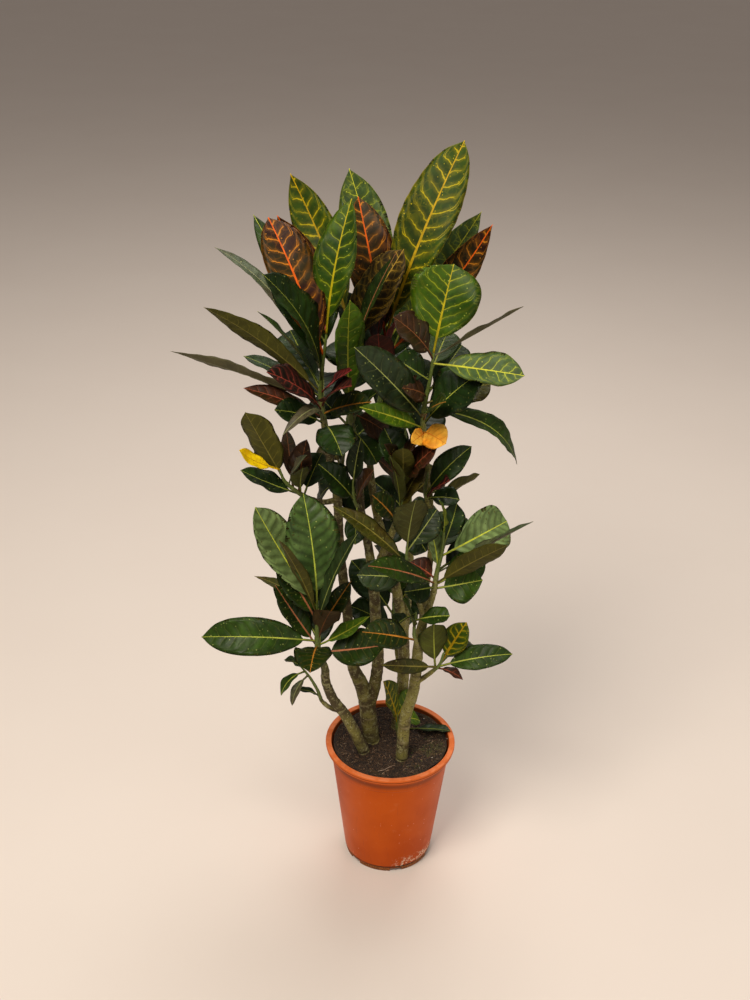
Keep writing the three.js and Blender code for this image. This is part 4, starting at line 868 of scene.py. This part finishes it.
def pot_material():
    """Moulded plastic: satin, scuffed, lighter on the rim, with lime and dirt low down, and some painted
    shade and highlight.
    """
    k = Look("pot_plastic")
    at = k.place()
    x, y, z = k.parts(at)
    brim = POT_HEIGHT - RIM_DEPTH
    broad = k.noise(at, 9.0, 3.0)
    fine = k.noise(at, 500.0, 2.0)
    k.colour = k.mix(k.ramp(broad, 0.35, 0.65), POT["body"], POT["shade"])
    k.lay(k.ramp(z, brim - 0.5 * MM, brim + 0.5 * MM), POT["rim"])
    k.lay(k.patches(at, 60.0, 4.0, 0.6, 0.75, 0.0, 0.3), POT["scuff"])
    drawn_out = k.vector(k.times(x, 260.0), k.times(y, 260.0), k.times(z, 14.0))
    k.lay(k.patches(drawn_out, 1.0, 2.0, 0.62, 0.74, 0.0, 0.25), POT["streak"])
    specks = k.cells(at, 230.0)
    speck = k.times(k.ramp(specks, 0.1, 0.22, 1.0, 0.0), k.ramp(k.draw(specks), 0.93, 0.96))
    k.lay(k.times(speck, 0.7), POT["speck"])

    # Lime that dried on the wall low on the right, dirt along the foot, and the dark line in its band.
    low = k.band(z, 7 * MM, 11 * MM, 16 * MM, 34 * MM)
    right = k.ramp(k.minus(x, k.times(y, 0.3)), 24 * MM, 44 * MM)
    crust = k.ramp(k.noise(at, 210.0, 4.0, 0.7), 0.5, 0.57)
    k.lay(k.times(k.times(low, right), crust), POT["lime"])
    uneven = k.plus(z, k.times(k.minus(k.noise(at, 55.0, 4.0), 0.5), 9 * MM))
    dirt = k.ramp(uneven, 7 * MM, 11 * MM, 0.85, 0.0)
    k.lay(dirt, k.mix(k.ramp(fine, 0.4, 0.6), POT["dirt"], POT["dark_dirt"]))
    line = k.band(z, 7.6 * MM, 8.6 * MM, 10.6 * MM, 12 * MM)
    k.lay(k.times(line, k.patches(at, 40.0, 3.0, 0.4, 0.55, 0.6, 1.0)), POT["foot_line"])

    # The shade under the step, painted shade in the rim's groove, a painted highlight along the rim's top
    # edge, and the inner wall darker from below the soil up to near the top.
    ledge = k.band(z, *(STEP_HEIGHT + edge * MM for edge in (-1.6, -0.6, 0, 0.8)))
    k.lay(k.times(ledge, k.ramp(broad, 0.4, 0.55, 0.15, 0.5)), POT["ledge"])
    # Painted shade: a darker line in the rim's groove.
    groove = k.band(z, *(GROOVE_LINE + edge * MM for edge in (-1.3, -0.6, 0.6, 1.3)))
    k.lay(k.times(groove, 0.8), POT["groove"])
    # A painted highlight, patchy, along the rolled top edge of the rim, where the light from above falls.
    top_edge = k.ramp(z, POT_HEIGHT - 1.2 * MM, POT_HEIGHT - 0.2 * MM)
    k.lay(k.times(top_edge, k.patches(at, 80.0, 3.0, 0.4, 0.6, 0.2, 0.7)), POT["painted_edge_highlight"])
    reach = k.math("SQRT", k.plus(k.times(x, x), k.times(y, y)))
    inside = k.ramp(reach, SHOULDER_RADIUS - 0.8 * MM, SHOULDER_RADIUS - 0.2 * MM, 1.0, 0.0)
    # The inner wall is darker from below the soil up to near the top.
    inner_darker = k.times(inside, k.ramp(z, POT_HEIGHT - 2 * MM, POT_HEIGHT - 1 * MM, 0.6, 0.0))
    k.lay(k.times(inner_darker, k.ramp(z, SOIL_LEVEL - 20 * MM, SOIL_LEVEL - 10 * MM)), POT["inner_darker"])
    k.bump(k.plus(k.times(fine, 0.3), broad), 0.25 * MM, 0.4)
    rough = k.plus(k.ramp(broad, 0.3, 0.7, 0.4, 0.52), k.times(dirt, 0.35))
    return k.finish(rough, Specular_IOR_Level=0.3, IOR=1.3)


PALE_FLECK = (150, 118, 84)


def soil_material():
    """Dark fibrous mix; each crumb and fibre brings its own colour."""
    k = Look("soil_mix")
    at = k.place()
    fine = k.noise(at, 700.0, 4.0, 0.7)
    k.colour = k.scaled(k.value("grain_colour", "Color"), k.ramp(fine, 0.36, 0.64, 0.12, 1.5))
    k.lay(k.patches(at, 900.0, 2.0, 0.6, 0.68, 0.0, 0.8), PALE_FLECK)
    k.bump(k.plus(fine, k.noise(at, 260.0, 3.0)), 1.2 * MM, 1.0)
    return k.finish(k.ramp(fine, 0.3, 0.7, 0.8, 1.0))

# ---------------- the pot and its soil


def wall_radius(z):
    share = z / (POT_HEIGHT - RIM_DEPTH)
    return BASE_RADIUS + (SHOULDER_RADIUS - BASE_RADIUS) * share


def rounded(corner, before, after, radius, steps=4):
    """The points of a round corner between two straight stretches of a profile."""
    corner, before, after = (np.array(p, float) for p in (corner, before, after))
    start = corner + unit(before - corner) * radius
    end = corner + unit(after - corner) * radius
    t = np.linspace(0, 1, steps)[:, None]
    return list(map(tuple, (1 - t) ** 2 * start + 2 * t * (1 - t) * corner + t ** 2 * end))


def smoothed_profile(points, radii):
    """A profile with the corners rounded; a radius of 0 leaves the corner sharp."""
    out = []
    for i, (point, radius) in enumerate(zip(points, radii)):
        if radius == 0:
            out.append(point)
        else:
            out += rounded(point, points[i - 1], points[(i + 1) % len(points)], radius)
    return out


def cut(piece_mesh, cutters):
    """A mesh with other closed meshes taken out of it."""
    whole = bpy.data.objects.new("whole", piece_mesh)
    tool = bpy.data.objects.new("tool", cutters)
    for o in (whole, tool):
        bpy.context.scene.collection.objects.link(o)
    step = whole.modifiers.new("cut", "BOOLEAN")
    step.object = tool
    step.operation = "DIFFERENCE"
    step.solver = "EXACT"
    bpy.context.view_layer.update()
    result = bpy.data.meshes.new_from_object(whole.evaluated_get(bpy.context.evaluated_depsgraph_get()))
    for o in (whole, tool):
        bpy.data.objects.remove(o)
    return result


def pot_cutters():
    """The notches in the foot ring and the drainage holes in the floor."""
    made = bmesh.new()
    for i in range(FOOT_NOTCHES):
        turn = Matrix.Rotation(NOTCH_START + 2 * math.pi * i / FOOT_NOTCHES, 4, "Z")
        hole = turn @ Matrix.Translation((DRAIN_RING, 0, FLOOR_UNDERSIDE))
        bmesh.ops.create_cone(made, cap_ends=True, segments=32, radius1=DRAIN_RADIUS, radius2=DRAIN_RADIUS,
                              depth=4 * FLOOR_THICK, matrix=hole)
        size = Matrix.Diagonal((3 * FOOT_WIDTH, NOTCH_WIDTH, 2 * NOTCH_HEIGHT, 1))
        foot = turn @ Matrix.Translation((BASE_RADIUS, 0, 0))
        notch = bmesh.ops.create_cube(made, size=1, matrix=foot @ size)
        edges = {e for v in notch["verts"] for e in v.link_edges}
        bmesh.ops.bevel(made, geom=list(edges), offset=1.2 * MM, segments=3, affect="EDGES")
    mesh = bpy.data.meshes.new("cutters")
    made.to_mesh(mesh)
    made.free()
    return mesh


def pot():
    """One moulded pot: the wall with its stacking step, a rolled rim over a thin lip, a foot band."""
    brim = POT_HEIGHT - RIM_DEPTH
    floor_top = FLOOR_UNDERSIDE + FLOOR_THICK
    foot_inside = BASE_RADIUS - FOOT_WIDTH
    band = 0.8 * MM
    corners = [
        ((0, 0), 0), ((PAD_RADIUS, 0), 1), ((PAD_RADIUS + FOOT_TAPER, FLOOR_UNDERSIDE), 1),
        ((foot_inside - FOOT_TAPER, FLOOR_UNDERSIDE), 1), ((foot_inside, 0), 0.8),
        ((BASE_RADIUS - band, 0), 1.2), ((wall_radius(FOOT_BAND) - band, FOOT_BAND), 0.3),
        ((wall_radius(FOOT_BAND + band), FOOT_BAND + band), 0.5),
        ((wall_radius(STEP_HEIGHT), STEP_HEIGHT), 0.4),
        ((wall_radius(STEP_HEIGHT) + STEP_SIZE, STEP_HEIGHT + STEP_SIZE), 0.3),
        ((wall_radius(brim) + 0.5 * STEP_SIZE, brim), 1.5),
        ((RIM_RADIUS - RIM_BEVEL, brim), 0.7), ((RIM_RADIUS - 0.5 * RIM_BEVEL, brim + RIM_LIP), 0.7),
        ((RIM_RADIUS - RIM_GROOVE, brim + RIM_LIP + 0.5 * RIM_BEVEL), 0.3),
        ((RIM_RADIUS, brim + RIM_LIP + RIM_BEVEL), 0.5), ((RIM_RADIUS, POT_HEIGHT), 1.9),
        ((SHOULDER_RADIUS - RIM_BEVEL, POT_HEIGHT), 1.5), ((wall_radius(brim) - WALL, brim - RIM_DEPTH), 3),
        ((wall_radius(floor_top) - WALL, floor_top), 3), ((0, floor_top), 0),
    ]
    profile = smoothed_profile([c for c, _ in corners], [r * MM for _, r in corners])
    points = [(0, 0, profile[0][1])]
    rings = profile[1:-1]
    for r, z in rings:
        for j in range(POT_SIDES):
            angle = 2 * math.pi * j / POT_SIDES
            points.append((r * math.cos(angle), r * math.sin(angle), z))
    points.append((0, 0, profile[-1][1]))
    mesh = bpy.data.meshes.new("pot_turned")
    mesh.from_pydata(points, [], turned_faces(len(rings), POT_SIDES))
    mesh = cut(mesh, pot_cutters())
    mesh.materials.clear()
    mesh.materials.append(pot_material())
    mesh.polygons.foreach_set("use_smooth", [True] * len(mesh.polygons))
    mesh.set_sharp_from_angle(angle=math.radians(38))
    return dress("pot_moulded", mesh, ["pot"])


def soil_height(x, y):
    """Shallow humps and dips that rise to the wall, in metres."""
    reach = math.hypot(x, y) / soil_radius(SOIL_LEVEL - SOIL_EDGE_RISE)
    x, y = x / MM, y / MM
    humps = math.sin(x / 9 + 0.4) * math.cos(y / 11)
    rise = SOIL_EDGE_RISE * max(0.0, 3 * reach - 2)
    return SOIL_LEVEL + SOIL_SWELL * (humps + 0.5 * math.sin(x / 20 - y / 14)) + rise


SOIL_COLOURS = [(38, 22, 10), (28, 16, 8), (52, 33, 17), (20, 12, 6), (66, 43, 24)]
CHIP_COLOURS = [(122, 90, 66), (100, 74, 52), (84, 60, 42), (142, 108, 80)]
FIBRE_COLOURS = [(176, 150, 124), (96, 72, 50), (124, 98, 72), (70, 50, 34)]
MOSS = (78, 84, 30)
WHITE = (214, 206, 190)
ROOT_COLOUR = (186, 160, 136)

# How many of each are laid on the soil, but a fibre that would reach the wall is left out.
CRUMBS = 1300
CRUMBS_PER_FOOT = 40
FLAT_LUMPS = 60
FIBRES = 420
FIBRE_STEPS = 8
FIBRE_SIDES = 5
SOIL_RINGS = 44
SOIL_SIDES = 132
ROUND = 6.28

# White grit and where one long pale root begins, as seen in the view.
WHITE_CHIPS = [((438, 722), 3.4), ((424, 720), 1.6), ((447, 740), 1.7), ((432, 757), 1.5), ((420, 768), 1.4)]
PALE_ROOT = (378, 771)


def soil_radius(z):
    return wall_radius(z) - WALL - SOIL_INSET


def crumb(shape, rng, x, y, size, colour, flat=1.0):
    """One rough lump that lies half sunk in the soil."""
    made = bmesh.new()
    bmesh.ops.create_icosphere(made, subdivisions=1, radius=size)
    turn = Matrix.Rotation(rng.uniform(0, ROUND), 3, "Z") @ Matrix.Rotation(rng.uniform(-0.6, 0.6), 3, "X")
    points = []
    for v in made.verts:
        y_squeezed = v.co.y * rng.uniform(0.5, 1.0)
        z_squeezed = v.co.z * 0.7 * flat * rng.uniform(0.7, 1.1)
        p = turn @ Vector((v.co.x, y_squeezed, z_squeezed))
        points.append((x + p.x, y + p.y, soil_height(x, y) + 0.3 * size * flat + p.z))
    faces = [[v.index for v in f.verts] for f in made.faces]
    made.free()
    shape.add(points, faces, 0, grain_colour=np.array(linear(colour)))


def fibre(shape, rng, start, heading, length, radius, colour, lift=0.4 * MM):
    """One thin bent strand that lies on the soil."""
    steps = FIBRE_STEPS
    places = []
    x, y = start
    for i in range(steps):
        places.append((x, y, soil_height(x, y) + radius + lift + 0.8 * MM * math.sin(3.1 * i / steps)))
        heading += rng.uniform(-0.45, 0.45)
        x += math.cos(heading) * length / steps
        y += math.sin(heading) * length / steps
    places = np.array(places)
    inside = np.hypot(places[:, 0], places[:, 1]) < soil_radius(SOIL_LEVEL) - 2 * MM
    if not inside.all():
        return
    curve = Curve(places, [radius] * steps)
    t = np.linspace(0, 1, 2 * steps)
    at, alongs = curve.at(t)
    radii = radius * np.sqrt(np.clip(np.sin(np.pi * t) + 0.25, 0, 1))
    tube(shape, at, alongs, radii, FIBRE_SIDES, grain_colour=np.array(linear(colour)))


def soil(feet):
    """The potting mix: its body, crumbs and chips on it, and the fibres that lie about."""
    rng = random.Random(11)
    shape = Shape()
    floor_top = FLOOR_UNDERSIDE + FLOOR_THICK + CLEAR
    top_radius = soil_radius(SOIL_LEVEL - SOIL_EDGE_RISE)
    rings, sides = SOIL_RINGS, SOIL_SIDES
    plain = linear(SOIL_COLOURS[0])
    points = [(0, 0, floor_top)]
    colours = [plain]
    for j in range(sides):
        angle = 2 * math.pi * j / sides
        reach = soil_radius(floor_top)
        points.append((reach * math.cos(angle), reach * math.sin(angle), floor_top))
        colours.append(plain)
    for i in range(rings, 0, -1):
        radius = top_radius * i / rings
        for j in range(sides):
            angle = 2 * math.pi * j / sides
            x, y = radius * math.cos(angle), radius * math.sin(angle)
            rough = noise.fractal(Vector((x, y, 0)) * 230, 1.0, 2.0, 3) * (1.3 * MM if i < rings else 0)
            points.append((x, y, soil_height(x, y) + rough))
            dark = rng.random()
            moss = smooth(0.2, 0.6, noise.noise(Vector((x, y, 3)) * 35) + 0.5 * (x / top_radius - 0.3))
            moss *= rng.random()
            base = np.array(linear(SOIL_COLOURS[int(dark * len(SOIL_COLOURS))]))
            colours.append(base * (1 - 0.6 * moss) + np.array(linear(MOSS)) * 0.6 * moss)
    points.append((0, 0, soil_height(0, 0)))
    colours.append(plain)
    shape.add(points, turned_faces(rings + 1, sides), 0, grain_colour=np.array(colours))

    def free_spot(margin):
        while True:
            angle, radius = rng.uniform(0, 2 * math.pi), math.sqrt(rng.random()) * (top_radius - margin)
            x, y = radius * math.cos(angle), radius * math.sin(angle)
            if all(math.hypot(x - fx, y - fy) > r + margin for fx, fy, r in feet):
                return x, y

    for _ in range(CRUMBS):
        x, y = free_spot(3 * MM)
        size = rng.uniform(0.6, 1.8) * MM
        kind = rng.random()
        colour = rng.choice(SOIL_COLOURS) if kind < 0.7 else rng.choice(CHIP_COLOURS)
        if kind > 0.92 and x > 0.2 * top_radius:
            colour = MOSS
        crumb(shape, rng, x, y, size, colour)
    for fx, fy, r in feet:
        for _ in range(CRUMBS_PER_FOOT):
            size, angle = rng.uniform(0.8, 2.0) * MM, rng.uniform(0, 2 * math.pi)
            reach = r + size + rng.uniform(0.1, 1.4) * MM
            crumb(shape, rng, fx + reach * math.cos(angle), fy + reach * math.sin(angle), size,
                  rng.choice(SOIL_COLOURS))
    for _ in range(FLAT_LUMPS):
        x, y = free_spot(6 * MM)
        crumb(shape, rng, x, y, rng.uniform(2.0, 3.4) * MM, rng.choice(SOIL_COLOURS), 0.45)
    for _ in range(FIBRES):
        x, y = free_spot(4 * MM)
        colour = rng.choice(FIBRE_COLOURS)
        heading, length = rng.uniform(0, ROUND), rng.uniform(3, 12) * MM
        fibre(shape, rng, (x, y), heading, length, rng.uniform(0.16, 0.3) * MM, colour)
    for (px, py), size in WHITE_CHIPS:
        x, y, _ = seen_at_height(px, py, SOIL_LEVEL)
        crumb(shape, rng, x, y, size * MM, WHITE, 0.6)
    x, y, _ = seen_at_height(*PALE_ROOT, SOIL_LEVEL)
    fibre(shape, rng, (x, y), 0.5, 34 * MM, 0.5 * MM, ROOT_COLOUR, 1.2 * MM)
    return shape.piece("soil_mix", [soil_material()], "soil", ["soil"], smoothed=False)

# ---------------- the assembly


def grow_plant():
    """Every trunk with its limbs, and every shoot with its stem and leaves. Gives the trunks' feet."""
    bark = bark_material()
    leaves = leaf_material("croton_leaf")
    dying_leaves = leaf_material("croton_leaf_dying", spots=0.9)
    feet = []
    for trunk_index, trunk in enumerate(TRUNKS):
        wood = Shape()
        for branch_index, branch in enumerate(trunk["branches"]):
            seed = SEEDS_PER_TRUNK * trunk_index + SEEDS_PER_BRANCH * branch_index
            curve, split = grow(branch)
            start_age = 0.0 if branch_index == 0 else FORK_AGE
            limb(wood, curve, 0, split, WOOD_SIDES, *WOOD_SCARS, (start_age, SHOOT_AGE), seed)
            if branch_index == 0:
                start = curve.point(0)
                radius = trunk["radius"] * MM
                places = np.array([start - (0, 0, FOOT_DEPTH), start + (0, 0, 1 * MM)])
                alongs = np.array([(0, 0, 1.0)] * 2)
                tube(wood, places, alongs, np.array([radius] * 2), WOOD_SIDES, age=0.0, scar=0.0)
                feet.append((start[0], start[1], radius))
            shoot = Shape()
            inset = CLEAR / curve.length(split, 1) * (1 - split)
            limb(shoot, curve, split + inset, 1, STEM_SIDES, *STEM_SCARS, (SHOOT_AGE, 1.0), seed + 9, True)
            for leaf_index, row in enumerate(branch["leaves"]):
                root, tip = leaf_ends(curve, split, row)
                _, _, _, _, width, roll, bow, point, look = row
                leaf(shoot, root, tip, width, roll, bow, point, seed + leaf_index, look, 1)
            name = branch["shoot"]
            shoot.piece(f"foliage_{name}", [bark, leaves], "leaf", [f"shoot_{name}"])
            if "dying" in branch:
                dying = branch["dying"]
                old = Shape()
                for i, row in enumerate(dying["blades"]):
                    root, tip = leaf_ends(curve, split, row)
                    _, _, _, _, width, roll, bow, point = row
                    number = seed + len(branch["leaves"]) + i
                    leaf(old, root, tip, width, roll, bow, point, number, dying["look"])
                old.piece(f"old_{dying['node']}", [dying_leaves], dying["node"], [dying["node"]])
        wood.piece(f"bark_{trunk['name']}", [bark], "bark", [f"trunk_{trunk['name']}"])
    return feet, leaves


def fallen_leaf(material):
    """The fallen leaf, as high as the node that it stands for: its root on the soil, its tip on the rim."""
    f = FALLEN_LEAF
    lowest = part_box("leaf_fallen")[0][2]
    lift = 0.0
    for _ in range(3):
        shape = Shape()
        root = seen_at_height(*f["from"], SOIL_LEVEL + lift)
        tip = seen_at_height(*f["to"], POT_HEIGHT + lift)
        leaf(shape, root, tip, f["width"], f["roll"], f["bow"], f["point"], f["seed"], "deep")
        lift += lowest - float(shape.points[0][:, 2].min())
    shape.piece("dropped_leaf", [material], "leaf", ["leaf_fallen"])


def studio():
    """A plain pale floor, soft lights and the camera at the eye that the plant was measured from."""
    bpy.ops.mesh.primitive_circle_add(vertices=96, radius=40, fill_type="NGON")
    floor = bpy.context.object
    floor.name = "floor"
    k = Look("floor_paint")
    grain = k.noise(k.place(), 3.0, 3.0)
    k.colour = k.mix(grain, (226, 216, 208), (222, 211, 203))
    floor.data.materials.append(k.finish(0.9))

    world = bpy.data.worlds.new("studio")
    bpy.context.scene.world = world
    world.use_nodes = True
    sky = world.node_tree.nodes["Background"].inputs
    sky["Color"].default_value = (0.96, 0.86, 0.78, 1)
    sky["Strength"].default_value = 0.24

    aim = Vector((0, 0, 0.55))
    for name, place, size, power, colour in (
        ("key", (-0.9, -1.5, 3.1), 1.3, 82, (1.0, 0.92, 0.8)),
        ("back", (0.3, 1.3, 3.1), 1.8, 50, (1.0, 0.95, 0.88)),
        ("fill", (1.9, -1.6, 1.2), 1.8, 14, (1.0, 0.92, 0.84)),
    ):
        data = bpy.data.lights.new(name, "AREA")
        data.size = size
        data.energy = power
        data.color = colour
        lamp = bpy.data.objects.new(name, data)
        lamp.location = place
        lamp.rotation_euler = (aim - Vector(place)).to_track_quat("-Z", "Y").to_euler()
        bpy.context.scene.collection.objects.link(lamp)

    eye = bpy.data.cameras.new("eye")
    eye.sensor_width = SENSOR
    eye.lens = SENSOR * EYE_FOCAL / IMAGE_HEIGHT
    eye.clip_start, eye.clip_end = 0.05, 200
    camera = bpy.data.objects.new("eye", eye)
    right = Vector((math.cos(EYE_ROLL), math.sin(EYE_ROLL) * math.sin(EYE_PITCH),
                    math.sin(EYE_ROLL) * math.cos(EYE_PITCH)))
    forward = Vector((0, math.cos(EYE_PITCH), -math.sin(EYE_PITCH)))
    upward = right.cross(forward)
    turn = Matrix((right, upward, -forward)).transposed().to_4x4()
    camera.matrix_world = Matrix.Translation(EYE) @ turn
    bpy.context.scene.collection.objects.link(camera)
    bpy.context.scene.camera = camera
    bpy.context.scene.view_settings.view_transform = "Standard"


studio()
feet, leaf_look = grow_plant()
fallen_leaf(leaf_look)
soil(feet)
pot()

bpy.context.view_layer.update()
